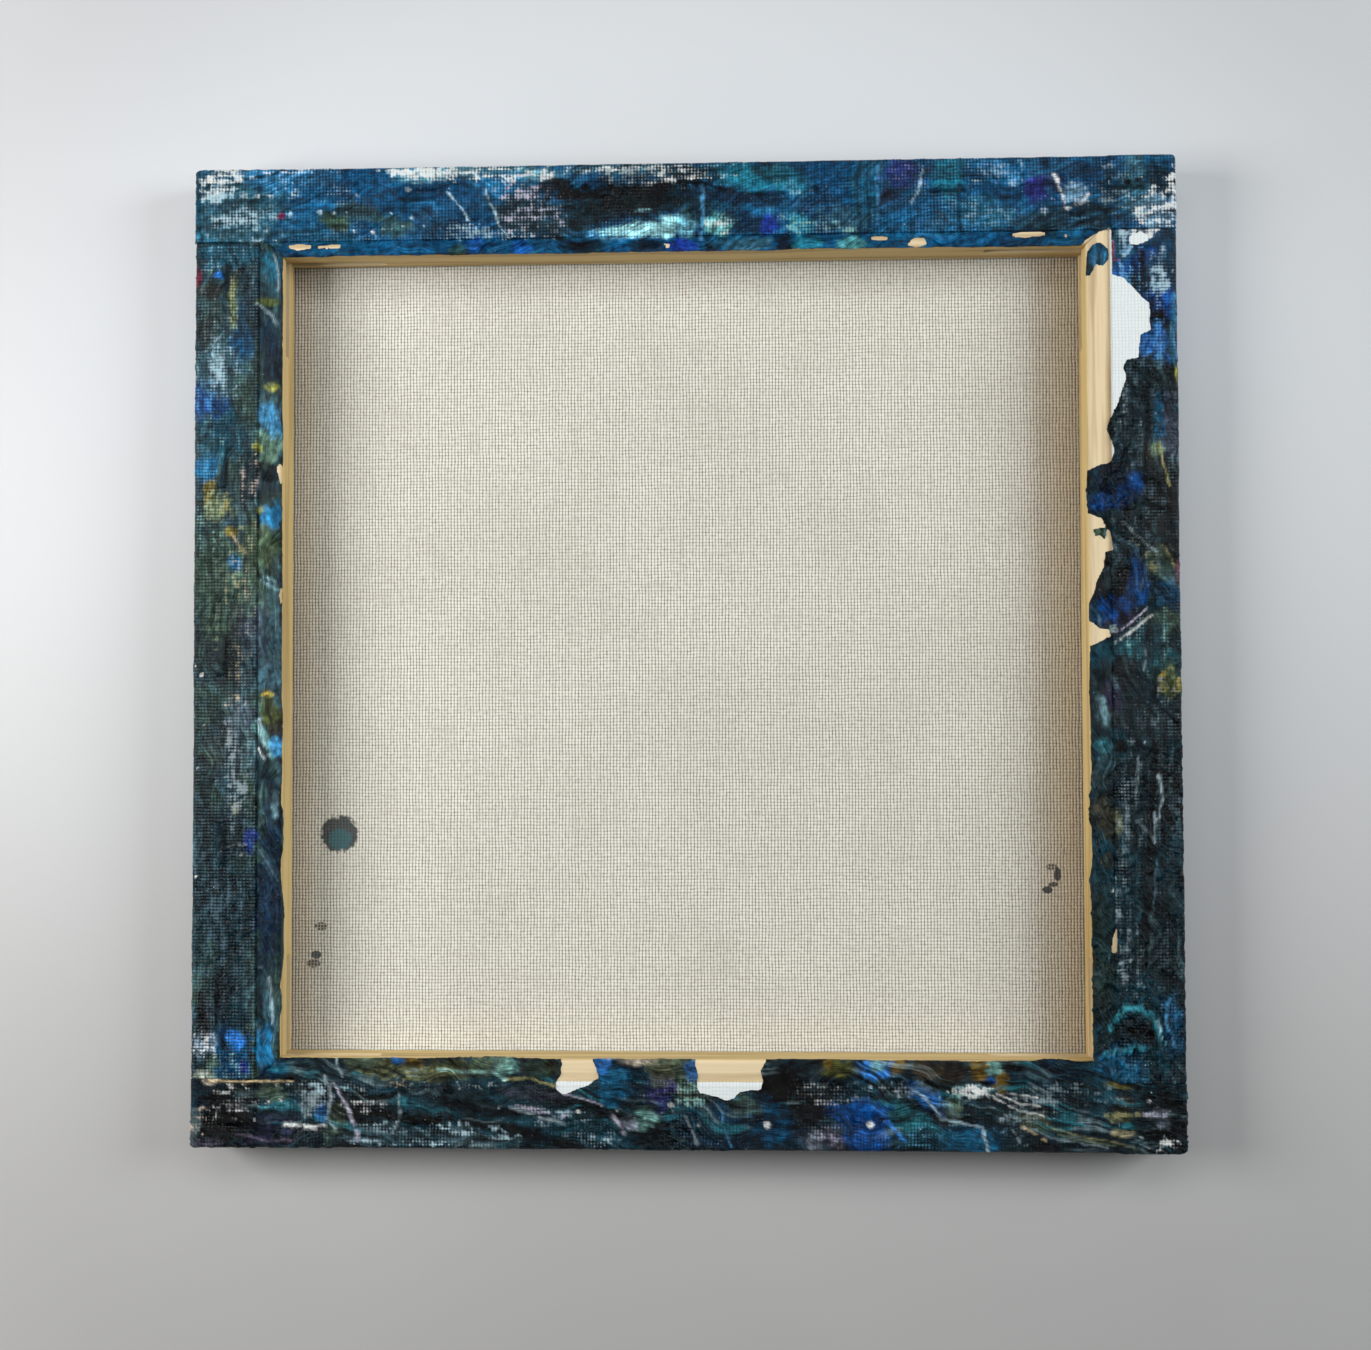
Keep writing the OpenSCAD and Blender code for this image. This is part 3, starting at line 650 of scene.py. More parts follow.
# Heights where the two outer folds end, and the length of cloth between them
FRONT_FOLD_Z = CLOTH_Z + FOLD_R
BACK_FOLD_Z = BACK_Z + CLOTH_T - FOLD_R
EDGE_RUN = BACK_FOLD_Z - FRONT_FOLD_Z
FRONT_TURN = FOLD_R * math.radians(80)
# Length of the inner arris, measured round it
ARRIS_RUN = ARRIS_R * math.pi / 2


def is_long(side):
    """The top and bottom flaps were folded last, and run the whole width."""
    return side in (TOP, BOTTOM)


def lap_edge(side, u):
    """How far along a side the cut edge of the neighbour's flap lies, at the nearer end."""
    return HALF - np.where(u > 0, FLAPS[(side + 1) % 4], FLAPS[(side - 1) % 4])


def layers(side, u, w):
    """Layers of cloth over the wood, with soft steps between them."""
    own = 1 - smooth(FLAPS[side] - 0.15, FLAPS[side] + 0.15, w)
    lap = lap_edge(side, u)
    if is_long(side):
        return own * (1 + smooth(lap - 0.6, lap + 0.5, np.abs(u)))
    return own + (w < 0.1) * smooth(lap - 0.4, lap + 0.4, np.abs(u))


def turned(start, end, t):
    """The direction a share t of the way from start to end, along the great circle."""
    angle = np.arccos(np.clip(sum(a * b for a, b in zip(start, end)), -1, 1))
    sine = np.maximum(np.sin(angle), 1e-6)
    first = np.sin((1 - t) * angle) / sine
    last = np.sin(t * angle) / sine
    return [first * a + last * b for a, b in zip(start, end)]


def side_surface(side, column, w):
    """Places and outward directions of the cloth and wood at a side, in millimetres.

    column is u along the straight part, and goes on round the corner in step with it.
    """
    column, w = np.broadcast_arrays(column, w)
    sign = np.sign(column)
    t = np.clip((np.abs(column) - STRAIGHT) / (HALF - STRAIGHT), 0, 1)
    up = np.arccos(np.clip(1 - w / TURN_OUT, 0, 1))
    down = np.clip((-w - EDGE_RUN) / FOLD_R, 0, math.pi / 2)
    phi = np.where(w > 0, up, -down)
    b = np.clip(1 - phi / (math.pi / 2), 0, 1)
    c, s = np.cos(phi), np.sin(phi)
    half_turn = math.radians(45) * b
    level = phi >= 0
    start = (0 * c, c, s)
    end = (
        np.where(level, np.cos(half_turn), c * math.cos(math.radians(45))),
        np.where(level, np.sin(half_turn), c * math.sin(math.radians(45))),
        np.where(level, 0, s),
    )
    nx, ny, nz = turned(start, end, t)
    x = sign * (np.minimum(np.abs(column), STRAIGHT) + FOLD_R * nx)
    y = np.where(w <= TURN_OUT, STRAIGHT + FOLD_R * ny, HALF - w)
    fold_z = BACK_Z + CLOTH_T * layers(side, x, np.maximum(w, 0)) - FOLD_R
    share = np.clip((w + EDGE_RUN) / EDGE_RUN, 0, 1)
    z = FRONT_FOLD_Z + (fold_z - FRONT_FOLD_Z) * share + FOLD_R * nz
    # Past the flap the wood's back goes on level, and then turns down into the window
    beta = np.clip((w - TURN_W) / ARRIS_R, 0, math.pi / 2)
    over = w > TURN_W
    y = np.where(over, HALF - TURN_W - ARRIS_R * np.sin(beta), y)
    fall = ARRIS_R * (1 - np.cos(beta)) + np.maximum(w - TURN_W - ARRIS_RUN, 0)
    z = np.where(over, BACK_Z - fall, z)
    nx = np.where(over, 0, sign * nx)
    ny = np.where(over, -np.sin(beta), ny)
    nz = np.where(over, np.cos(beta), nz)
    return np.stack([x, y, z], -1), np.stack([nx, ny, nz], -1)


def at_side(side, points):
    """Turns points of the top side round to another side."""
    angle = -math.pi / 2 * side
    c, s = round(math.cos(angle)), round(math.sin(angle))
    x, y, z = np.moveaxis(points, -1, 0)
    return np.stack([c * x - s * y, s * x + c * y, z], -1)


def spread(stops):
    """Values from stop to stop, each stop being (value, spacing up to it)."""
    values = [stops[0][0]]
    for value, spacing in stops[1:]:
        count = max(1, round((value - values[-1]) / spacing))
        start = values[-1]
        values += [start + (value - start) * i / count for i in range(1, count + 1)]
    return np.array(values)


# ---- meshes ----------------------------------------------------------------------------


def build_mesh(name, places, faces, material):
    """An object from places in millimetres and faces."""
    mesh = bpy.data.meshes.new(name)
    mesh.from_pydata((np.asarray(places) * MM).tolist(), [], [tuple(f) for f in faces.tolist()])
    mesh.materials.append(material)
    mesh.polygons.foreach_set("use_smooth", [True] * len(mesh.polygons))
    mesh.update()
    obj = bpy.data.objects.new(name, mesh)
    bpy.context.scene.collection.objects.link(obj)
    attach(obj, "root")
    return obj


def add_attribute(mesh, name, kind, values):
    """Stores one value at each vertex, for the material."""
    layer = mesh.attributes.new(name, kind, "POINT")
    field = "vector" if kind == "FLOAT_VECTOR" else "color"
    layer.data.foreach_set(field, np.ascontiguousarray(values, dtype=np.float32).ravel())


def closed_grid(outer, inner, keep):
    """A closed shell from two grids of places, over the squares in keep."""
    rows, columns = outer.shape[:2]
    index = np.arange(rows * columns).reshape(rows, columns)
    shift = rows * columns
    a, b, c, d = index[:-1, :-1], index[1:, :-1], index[1:, 1:], index[:-1, 1:]
    top = np.stack([a[keep], b[keep], c[keep], d[keep]], -1)
    bottom = top[:, ::-1] + shift
    padded = np.pad(keep, 1)
    rims = []
    for first, last, beside in (
        (a, b, padded[1:-1, :-2]),
        (b, c, padded[2:, 1:-1]),
        (c, d, padded[1:-1, 2:]),
        (d, a, padded[:-2, 1:-1]),
    ):
        edge = keep & ~beside
        p, q = first[edge], last[edge]
        rims.append(np.stack([q, p, p + shift, q + shift], -1))
    faces = np.concatenate([top, bottom] + rims)
    used, compact = np.unique(faces, return_inverse=True)
    places = np.concatenate([outer.reshape(-1, 3), inner.reshape(-1, 3)])
    return places[used], compact.reshape(faces.shape), used % shift


# ---- paint -----------------------------------------------------------------------------


def segment_distance(u, w, points):
    """Distance to a line through points."""
    best = np.full(u.shape, 1e9)
    for (au, aw), (bu, bw) in zip(points[:-1], points[1:]):
        du, dw = bu - au, bw - aw
        t = np.clip(((u - au) * du + (w - aw) * dw) / (du * du + dw * dw), 0, 1)
        best = np.minimum(best, np.hypot(u - au - t * du, w - aw - t * dw))
    return best


def outline_distance(u, w, points):
    """Distance to a closed outline, below zero inside it."""
    inside = np.zeros(u.shape, dtype=bool)
    for (au, aw), (bu, bw) in zip(points, points[1:] + points[:1]):
        crosses = (aw > w) != (bw > w)
        rise = bw - aw if bw != aw else 1e-9
        inside ^= crosses & (u < au + (w - aw) * (bu - au) / rise)
    distance = segment_distance(u, w, points + points[:1])
    return np.where(inside, -distance, distance)


def dab_mask(u, w, dab, warp_u, warp_w, fray):
    """How much of a dab there is at each place, from 0 to 1."""
    cu, cw, ru, rw, turn = dab[:5]
    size = min(ru, rw)
    loose = min(1.0, size / 5)
    c, s = math.cos(math.radians(turn)), math.sin(math.radians(turn))
    du = u - cu + warp_u * loose
    dw = w - cw + warp_w * loose
    r = np.hypot((du * c + dw * s) / ru, (dw * c - du * s) / rw)
    return smooth(1.35, 0.7, r + fray * 0.5)


class Paint:
    """Colours and relief of the paint, over arrays of places."""

    def __init__(self, u, w, base, seed):
        self.u, self.w, self.seed = u, w, seed
        self.warp_u = 4.4 * fbm(u, w, 9, seed + 1, 3) + 1.6 * fbm(u, w * 1.6, 3, seed + 2, 3)
        self.warp_w = 3.2 * fbm(u * 0.7, w, 8, seed + 3, 3)
        self.warp_w += 1.4 * fbm(u * 0.5, w * 1.4, 2.4, seed + 4, 3)
        self.fray = fbm(u, w, 1.5, seed + 5, 3)
        self.streak = fbm(u * 0.12, w, 1.3, seed + 6, 3) + 0.7 * fbm(u, w, 1.3, seed + 7, 3)
        self.colour = np.zeros(u.shape + (3,)) + PALETTE[base]
        # The pale fog on every thread top at the start is a painted highlight; dry brushing is added over
        # it
        self.dry_colour = np.zeros(u.shape + (3,)) + PALETTE["fog"]
        self.dry_and_glint = np.zeros(u.shape) + 0.24
        self.relief = np.zeros(u.shape)
        self.smoothness = np.zeros(u.shape)
        self.thick = np.zeros(u.shape)
        self.sweep = np.stack([w, u, 0 * u], -1)

    def patches(self, names, size, share):
        """Loose patches of a few colours all over."""
        for i, name in enumerate(names):
            field = fbm(self.u + self.warp_u, self.w * 1.4 + self.warp_w, size, self.seed + 20 + 3 * i)
            mask = smooth(0.02, 0.34, field + 0.3 * self.fray + 0.15 * self.streak) * share
            self.colour = self.mixed(self.colour, PALETTE[name], mask)

    def mixed(self, old, new, mask):
        return old + (new - old) * mask[..., None]

    def brushwork(self, slant, pale, amount):
        """Fine strands of half-mixed paint that follow the sweep of the brush."""
        u, w, seed = self.u, self.w, self.seed
        across = w + slant * u + 7 * fbm(u, w, 24, seed + 60, 2) + 2.5 * fbm(u, w, 8, seed + 63, 2)
        along = u + 6 * fbm(u, w, 20, seed + 66, 2)
        self.sweep = np.stack([across, along, 0 * u], -1)
        fine = value_noise(across / 0.6, along / 9, seed + 70)
        broad = value_noise(across / 1.5, along / 15, seed + 71)
        strands = 0.55 * fine + 0.65 * broad
        where = smooth(-0.25, 0.2, fbm(u, w, 16, seed + 72, 2)) * amount
        self.colour *= np.clip(1 + 1.2 * strands * (0.4 + 0.6 * where), 0.2, 2.2)[..., None]
        light = smooth(0.2, 0.7, strands) * where
        mixed = np.zeros(u.shape + (3,)) + PALETTE[pale[0]]
        mixed = self.mixed(mixed, PALETTE[pale[1]], smooth(-0.1, 0.1, fbm(u, w, 12, seed + 75, 2)))
        self.colour = self.mixed(self.colour, mixed, 0.65 * light)
        dark = smooth(-0.35, -0.8, strands) * where
        self.colour = self.mixed(self.colour, PALETTE["ink"], 0.6 * dark)
        self.relief += 0.22 * strands * where
        self.smoothness = np.maximum(self.smoothness, 0.35 * where)

    def dab(self, dab):
        mask = dab_mask(self.u, self.w, dab, self.warp_u, self.warp_w, self.fray)
        mask = mask * dab[6]
        shade = np.clip(1 + 0.5 * self.streak, 0.35, 1.8)[..., None]
        self.colour = self.mixed(self.colour, PALETTE[dab[5]] * shade, mask)
        self.relief += 0.05 * mask
        self.dry_and_glint *= 1 - 0.5 * mask

    def dry_dab(self, dab):
        mask = dab_mask(self.u, self.w, dab, self.warp_u * 1.5, self.warp_w, self.fray * 2)
        mask = mask * np.clip(dab[6] * (0.68 + 1.1 * self.streak), 0, 1)
        self.dry_colour = self.mixed(self.dry_colour, PALETTE[dab[5]], np.minimum(1, mask * 1.6))
        self.dry_and_glint = np.maximum(self.dry_and_glint, mask)

    def stroke(self, stroke):
        points, width, colour, strength, height = stroke
        far = 0.9 + width
        near = (
            (self.u > min(p[0] for p in points) - far)
            & (self.u < max(p[0] for p in points) + far)
            & (self.w > min(p[1] for p in points) - far)
            & (self.w < max(p[1] for p in points) + far)
        )
        distance = np.full(self.u.shape, 1e3)
        bend = 0.35
        distance[near] = segment_distance(
            self.u[near] + bend * self.warp_u[near] * 0.7,
            self.w[near] + bend * self.warp_w[near] * 0.7,
            [tuple(p) for p in points],
        )
        gaps = smooth(-0.55, -0.2, self.streak)
        mask = smooth(width, 0.2 * width, distance * (1.0 + 0.6 * self.fray)) * gaps
        self.colour = self.mixed(self.colour, PALETTE[colour] * TOP_COAT, mask * strength)
        self.relief += height * mask
        self.dry_and_glint *= 1 - mask
        self.smoothness = np.maximum(self.smoothness, mask * 0.7)

    def speck(self, speck):
        cu, cw, size, colour = speck
        r = np.hypot(self.u - cu, self.w - cw) + 0.25 * size * self.fray
        mask = smooth(size, 0.55 * size, r)
        self.colour = self.mixed(self.colour, PALETTE[colour] * TOP_COAT, mask)
        self.relief += 0.3 * mask
        self.dry_and_glint *= 1 - mask

    def attributes(self):
        """What the material needs at each place."""
        tint = np.clip(1 + 0.35 * self.streak, 0.4, 1.7)[..., None]
        colour = np.clip(self.colour * tint, 0.001, 0.9)
        ones = np.ones(self.u.shape)
        dry_and_glint, thick = np.clip(self.dry_and_glint, 0, 1), np.clip(self.thick, 0, 1)
        facts = np.stack([dry_and_glint, self.smoothness, thick, ones], -1)
        return {
            "paint": np.concatenate([colour, ones[..., None]], -1),
            "dry_and_glint": np.concatenate([self.dry_colour, ones[..., None]], -1),
            "facts": facts,
        }


def staple_places(side):
    """Middles of the staples in a side's row."""
    end = HALF - ROW_END[side]
    return [-end + 2 * end * i / (STAPLES[side] - 1) for i in range(STAPLES[side])]


def cover_of(side, u, w):
    """How far inside the painted area a place is, below zero outside it."""
    rough = 0.3 * fbm(u, w, 3, 400 + side) + 0.14 * fbm(u, w, 0.9, 410 + side, 2)
    reach = TURN_W + ARRIS_RUN - 0.35
    reach = reach + 0.5 * fbm(u, 0 * u, 22, 420 + side) + 0.3 * fbm(u, 0 * u, 5, 430 + side)
    for cu, half, extra in OVERHANGS[side]:
        reach = reach + extra * smooth(1, 0.35, np.abs(u - cu) / half)
    cover = reach - w
    for outline in BARE[side]:
        cover = np.minimum(cover, outline_distance(u, w, list(outline)))
    for outline in ISLANDS[side]:
        cover = np.maximum(cover, -outline_distance(u, w, list(outline)))
    cover = cover + rough
    mitre = HALF - w - np.abs(u)
    if is_long(side):
        return np.minimum(cover, np.maximum(FLAPS[side] + 0.5 - w, mitre))
    beyond_lap = np.minimum(lap_edge(side, u) + 0.1 - np.abs(u), mitre)
    return np.minimum(cover, np.maximum(0.05 - w, beyond_lap))


def colour_skin(skin, paint, cloth, used):
    """Stores what the paint's material needs: the colours, and the places on the cloth."""
    for name, values in paint.attributes().items():
        add_attribute(skin.data, name, "FLOAT_COLOR", values.reshape(-1, 4)[used])
    add_attribute(skin.data, "cloth", "FLOAT_VECTOR", cloth.reshape(-1, 3)[used])
    add_attribute(skin.data, "sweep", "FLOAT_VECTOR", paint.sweep.reshape(-1, 3)[used])


def paint_side(side, material):
    """The skin of paint on one side, from the face's edge to the window."""
    flap = FLAPS[side]
    rows = spread(
        (
            (-EDGE_RUN - FRONT_TURN, 1),
            (-EDGE_RUN, 0.55),
            (-0.05, 0.7),
            (TURN_OUT, 0.26),
            (flap - 0.6, 0.52),
            (flap - 0.2, 0.2),
            (flap + 0.2, 0.1),
            (flap + 0.8, 0.3),
            (TURN_W, 0.5),
            (TURN_W + ARRIS_RUN, 0.3),
            (TURN_W + ARRIS_RUN + HANG, 0.8),
        )
    )
    half_columns = spread(((0, 1), (STRAIGHT, 0.6), (HALF, 0.3)))
    columns = np.concatenate([-half_columns[:0:-1], half_columns])
    column, w = (g.copy() for g in np.meshgrid(columns, rows))
    cover = cover_of(side, column, w)
    # Squares with any paint stay, and their outer corners move to the paint's edge
    inside = cover > 0
    corners = np.stack([inside[:-1, :-1], inside[1:, :-1], inside[1:, 1:], inside[:-1, 1:]])
    keep = corners.any(0)
    slope_w, slope_c = np.gradient(cover, rows, columns)
    steep = np.maximum(slope_w**2 + slope_c**2, 0.25)
    step = np.clip(-cover / steep, 0, 1.2)
    moves = (cover < 0) & (w > 0.1)
    slides = moves & (np.abs(column) < STRAIGHT)
    column = np.where(slides, column + np.clip(step * slope_c, -0.45, 0.45), column)
    limit = 0.75 * np.gradient(rows)[:, None]
    w = np.where(moves, w + np.clip(step * slope_w, -limit, limit), w)
    place, outward = side_surface(side, column, w)
    u = place[..., 0]
    # The outer edge carries on the colours of the flap beside it
    paint = Paint(u, np.where(w < 0, -w * 1.1 + 0.4, w), BASE[side], 100 * side)
    paint.patches(PATCHES[side], 15, 0.7)
    paint.patches(PATCHES[side][::-1], 5, 0.4)
    for dab in DABS[side]:
        paint.dab(dab)
    paint.brushwork(*SWEEPS[side])
    filled = FILLED[side] * smooth(-0.35, 0.05, fbm(u, w, 14, 550 + side, 3))
    paint.smoothness = np.maximum(paint.smoothness, filled)
    for dab in DRY[side]:
        paint.dry_dab(dab)
    paint.colour *= DEPTHS[side]
    for stroke in STROKES[side]:
        paint.stroke(stroke)
    for speck in SPECKS[side]:
        paint.speck(speck)
    lumps = fbm(u, w, 5, 500 + side) + 0.6 * fbm(u, w, 1.6, 510 + side, 3)
    fold = fbm(u + 0.6 * paint.warp_u, w + 0.6 * paint.warp_w, 7, 530 + side, 3)
    where = smooth(-0.15, 0.25, fbm(u, w, 24, 540 + side, 2)) * CRINKLE[side]
    wrinkle = np.clip(1 - 7 * np.abs(fold), 0, 1) ** 1.5
    crease = fbm(u - w, 0.4 * (u + w), 3.4, 560 + side, 2)
    wrinkle = np.maximum(wrinkle, 0.7 * np.clip(1 - 4 * np.abs(crease), 0, 1) ** 1.5)
    wrinkle = wrinkle * where
    paint.thick = where
    thick = 0.12 + 0.1 * lumps + 0.8 * paint.relief + 0.55 * wrinkle
    paint.smoothness = np.maximum(paint.smoothness, 0.7 * wrinkle)
    # Painted highlight: the colour is lightened along the wrinkles' ridges, and darkened over the
    # wrinkled stretches
    paint.colour *= (1 + 0.6 * wrinkle - 0.25 * where)[..., None]
    margin = smooth(flap, flap + 0.8, w)
    thick = thick + 0.12 * margin * (1 + fbm(u * 0.5, w, 3, 520 + side))
    # The paint closes over the staples, and leaves a soft ridge along each, with a painted shadow line
    # beside it
    for cu in staple_places(side):
        along = np.abs(u - cu)
        across = np.abs(w - STAPLE_W)
        ridge = smooth(2.2, 0.7, across) * smooth(CROWN + 1.4, CROWN + 0.1, along)
        thick = np.maximum(thick, 0.72 * ridge + thick * (1 - ridge))
        paint.smoothness = np.maximum(paint.smoothness, 0.5 * ridge)
        # A painted shadow line along the inner side of each ridge
        beside = smooth(1.0, 0.2, np.abs(w - STAPLE_W - 1.5)) * smooth(CROWN + 1, CROWN - 1, along)
        paint.colour *= (1 - 0.75 * beside)[..., None]
        paint.dry_and_glint *= 1 - beside
    edge = smooth(0, 0.5, cover)
    thick = np.clip(thick, 0.04, 1.1) * edge + 0.04 * (1 - edge)
    # On the edges the paint stays inside the finished size
    thick = np.where(w <= 0, np.clip(thick, 0.05, 0.32), thick)
    blend = smooth(0, TURN_OUT * 0.9, w)
    thick = np.clip(thick, 0.04, 0.32 + 0.8 * blend)
    outer = at_side(side, place + outward * thick[..., None])
    inner = at_side(side, place + outward * 0.01)
    places, faces, used = closed_grid(outer, inner, keep)
    skin = build_mesh(f"paint_skin_{SIDES[side]}", places, faces, material)
    # The paint on the bare wood is smooth, and has no weave to catch dry brushing
    paint.smoothness = np.clip(paint.smoothness + 0.75 * margin, 0, 1)
    paint.dry_and_glint *= 1 - 0.6 * margin
    colour_skin(skin, paint, np.stack([u, w, 0 * u], -1), used)
    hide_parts(f"paint_wrap_{SIDES[side]}")


def paint_face(material):
    """The painting itself, on the face that the canvas lies on."""
    line = spread(((0, 1), (STRAIGHT - 0.2, 1.5), (STRAIGHT + 0.15, 0.35)))
    line = np.concatenate([-line[:0:-1], line])
    u, w = np.meshgrid(line, line)
    paint = Paint(u, w, "prussian", 900)
    paint.warp_u *= 3
    paint.warp_w *= 3
    paint.patches(FACE_PATCHES[0], 60, 0.85)
    paint.patches(FACE_PATCHES[1], 28, 0.6)
    paint.brushwork(0.2, ("steel", "sky"), 0.8)
    paint.colour *= FACE_DEPTH
    paint.dry_and_glint = np.clip(0.1 + 0.55 * fbm(u, w, 25, 950), 0, 0.5)
    thick = 0.2 + 0.12 * fbm(u, w, 9, 960) + 0.08 * fbm(u, w, 3, 970)
    low_z = CLOTH_Z - 0.01
    edge = smooth(0, 1.2, STRAIGHT + 0.15 - np.maximum(np.abs(u), np.abs(w)))
    depth = np.clip(thick, 0.06, 0.46) * edge + 0.05 * (1 - edge)
    outer = np.stack([u, w, low_z - depth], -1)
    inner = np.stack([u, w, 0 * u + low_z], -1)
    keep = np.ones((len(line) - 1, len(line) - 1), dtype=bool)
    places, faces, used = closed_grid(outer, inner, keep)
    face = build_mesh("paint_face", places, faces, material)
    colour_skin(face, paint, np.stack([u, w, 0 * u], -1), used)
    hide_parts("paint_front")


# ---- the cloth -------------------------------------------------------------------------

FOLD_STEPS = 5


def cloth_rows(side):
    """Where the cloth's rows lie, from the front face to the flap's cut edge."""
    quarter = FOLD_R * math.pi / 2
    steps = np.arange(FOLD_STEPS + 1) / FOLD_STEPS
    front = -EDGE_RUN - quarter * (1 - steps)
    edge = spread(((-EDGE_RUN, 1), (0, 1.8)))[1:-1]
    back = TURN_OUT * (1 - np.cos(steps * math.pi / 2))
    flap = spread(((TURN_OUT, 1), (FLAPS[side] - 0.2, 1.1)))[1:]
    return np.concatenate([front, edge, back, flap])


def cloth_columns(side):
    """The cloth's columns, which meet the neighbours' rows at the corners."""
    steps = np.arange(1, FOLD_STEPS + 1) / FOLD_STEPS
    corner = STRAIGHT + steps * (HALF - STRAIGHT)
    if is_long(side):
        left, right = float(lap_edge(side, -1)), float(lap_edge(side, 1))
        stops = ((-STRAIGHT, 1), (-left - 0.8, 3), (-left + 0.8, 0.27))
        middle = spread(stops + ((right - 0.8, 3), (right + 0.8, 0.27), (STRAIGHT, 3)))
    else:
        first, last = (side - 1) % 4, (side + 1) % 4
        start = -(HALF - cloth_rows(first)[cloth_rows(first) > TURN_OUT - 1e-6])
        end = (HALF - cloth_rows(last)[cloth_rows(last) > TURN_OUT - 1e-6])[::-1]
        middle = np.concatenate([start, spread(((start[-1], 1), (end[0], 3)))[1:-1], end])
    return np.concatenate([-corner[::-1], middle, corner])


def cloth_side(side):
    """Outer and inner places of a side of the cloth, and the squares it has."""
    rows = cloth_rows(side)
    columns = cloth_columns(side)
    column, w = np.meshgrid(columns, rows)
    place, outward = side_surface(side, column, np.minimum(w, FLAPS[side] - 0.2))
    if is_long(side):
        keep = np.ones((len(rows) - 1, len(columns) - 1), dtype=bool)
    else:
        middle = (columns[:-1] + columns[1:]) / 2
        covered = np.abs(middle) > lap_edge(side, middle) + 0.2
        keep = ~(covered[None, :] & (rows[:-1] > -1e-6)[:, None])
    return at_side(side, place), at_side(side, place - outward * CLOTH_T), keep


def cloth_sheet(primed, raw):
    """The whole cloth: one closed sheet, its corners cut away where they would be tucked in."""
    shells = [cloth_side(side) for side in range(4)]
    x = cloth_columns(TOP)
    y = -cloth_columns(RIGHT)[::-1]
    x = x[np.abs(x) < STRAIGHT + 1e-6]
    y = y[np.abs(y) < STRAIGHT + 1e-6]
    gx, gy = np.meshgrid(x, y)
    outer = np.stack([gx, gy, 0 * gx + CLOTH_Z], -1)
    inner = np.stack([gx, gy, 0 * gx + CLOTH_Z + CLOTH_T], -1)
    shells.append((outer, inner, np.ones((len(y) - 1, len(x) - 1), dtype=bool)))
    places, faces, materials = [], [], []
    shift = 0
    for outer, inner, keep in shells:
        found, squares = closed_grid(outer, inner, keep)[:2]
        count = int(keep.sum())
        places.append(found)
        faces.append(squares + shift)
        materials += [0] * count + [1] * (len(squares) - count)
        shift += len(found)
    sheet = build_mesh("canvas_cloth", np.concatenate(places), np.concatenate(faces), primed)
    sheet.data.materials.append(raw)
    sheet.data.polygons.foreach_set("material_index", materials)
    weld(sheet)
    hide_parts("canvas_sheet")


def weld(obj):
    """Joins the pieces of the sheet where they meet, and drops the walls between them."""
    bm = bmesh.new()
    bm.from_mesh(obj.data)
    bmesh.ops.remove_doubles(bm, verts=bm.verts, dist=2e-6)
    bm.verts.index_update()
    # Two walls on the same four corners are one wall inside the cloth
    seen = {}
    for face in bm.faces:
        seen.setdefault(frozenset(v.index for v in face.verts), []).append(face)
    double = [f for group in seen.values() if len(group) > 1 for f in group]
    bmesh.ops.delete(bm, geom=double, context="FACES_ONLY")
    bm.to_mesh(obj.data)
    bm.free()


# ---- materials -------------------------------------------------------------------------


class Graph:
    """A material's node tree, built up by short calls."""

    def __init__(self, name):
        self.material = bpy.data.materials.new(name)
        self.material.use_nodes = True
        self.nodes = self.material.node_tree.nodes
        self.links = self.material.node_tree.links
        self.nodes.clear()
        self.shader = self.nodes.new("ShaderNodeBsdfPrincipled")
        out = self.nodes.new("ShaderNodeOutputMaterial")
        self.links.new(self.shader.outputs[0], out.inputs[0])

    def put(self, socket, value):
        if isinstance(value, bpy.types.NodeSocket):
            self.links.new(value, socket)
        elif value is not None:
            socket.default_value = value

    def node(self, kind, out=0, settings=(), **inputs):
        """A new node; inputs are given by name, with _ for a space, or by n0, n1 and so on."""
        node = self.nodes.new("ShaderNode" + kind)
        for key, value in dict(settings).items():
            setattr(node, key, value)
        for key, value in inputs.items():
            if key[0] == "n" and key[1:].isdigit():
                self.put(node.inputs[int(key[1:])], value)
            else:
                self.put(node.inputs[key.replace("_", " ")], value)
        return node.outputs[out]

    def math(self, operation, a, b=None, c=None):
        return self.node("Math", settings={"operation": operation}, n0=a, n1=b, n2=c)

    def vector(self, operation, a, b=None):
        return self.node("VectorMath", settings={"operation": operation}, n0=a, n1=b)

    def noise(self, vector, scale, detail=3.0, rough=0.55, out=0):
        return self.node(
            "TexNoise", out=out, Vector=vector, Scale=scale, Detail=detail, Roughness=rough
        )

    def ramp(self, value, low, high, start=0.0, end=1.0):
        """Maps low..high to start..end with a smooth step."""
        return self.node(
            "MapRange",
            settings={"interpolation_type": "SMOOTHSTEP"},
            Value=value,
            From_Min=low,
            From_Max=high,
            To_Min=start,
            To_Max=end,
        )

    def mix(self, factor, a, b, kind="MIX"):
        node = self.nodes.new("ShaderNodeMix")
        node.data_type = "RGBA"
        node.blend_type = kind
        self.put(node.inputs[0], factor)
        self.put(node.inputs[6], a)
        self.put(node.inputs[7], b)
        return node.outputs[2]

    def attribute(self, name, out="Color"):
        node = self.nodes.new("ShaderNodeAttribute")
        node.attribute_name = name
        return node.outputs[out]

    def finish(self, colour, rough, height=None, distance=0.001, **inputs):
        """Joins the last values to the shader; distance is the bump's, in metres."""
        self.put(self.shader.inputs["Base Color"], colour)
        self.put(self.shader.inputs["Roughness"], rough)
        if height is not None:
            normal = self.node("Bump", Strength=1.0, Distance=distance, Height=height)
            self.put(self.shader.inputs["Normal"], normal)
        for key, value in inputs.items():
            self.put(self.shader.inputs[key.replace("_", " ")], value)
        return self.material


def rgba(code_or_values):
    """A colour for a socket, from a hex code or from linear values."""
    values = linear(code_or_values) if isinstance(code_or_values, str) else code_or_values
    return tuple(float(v) for v in values) + (1.0,)


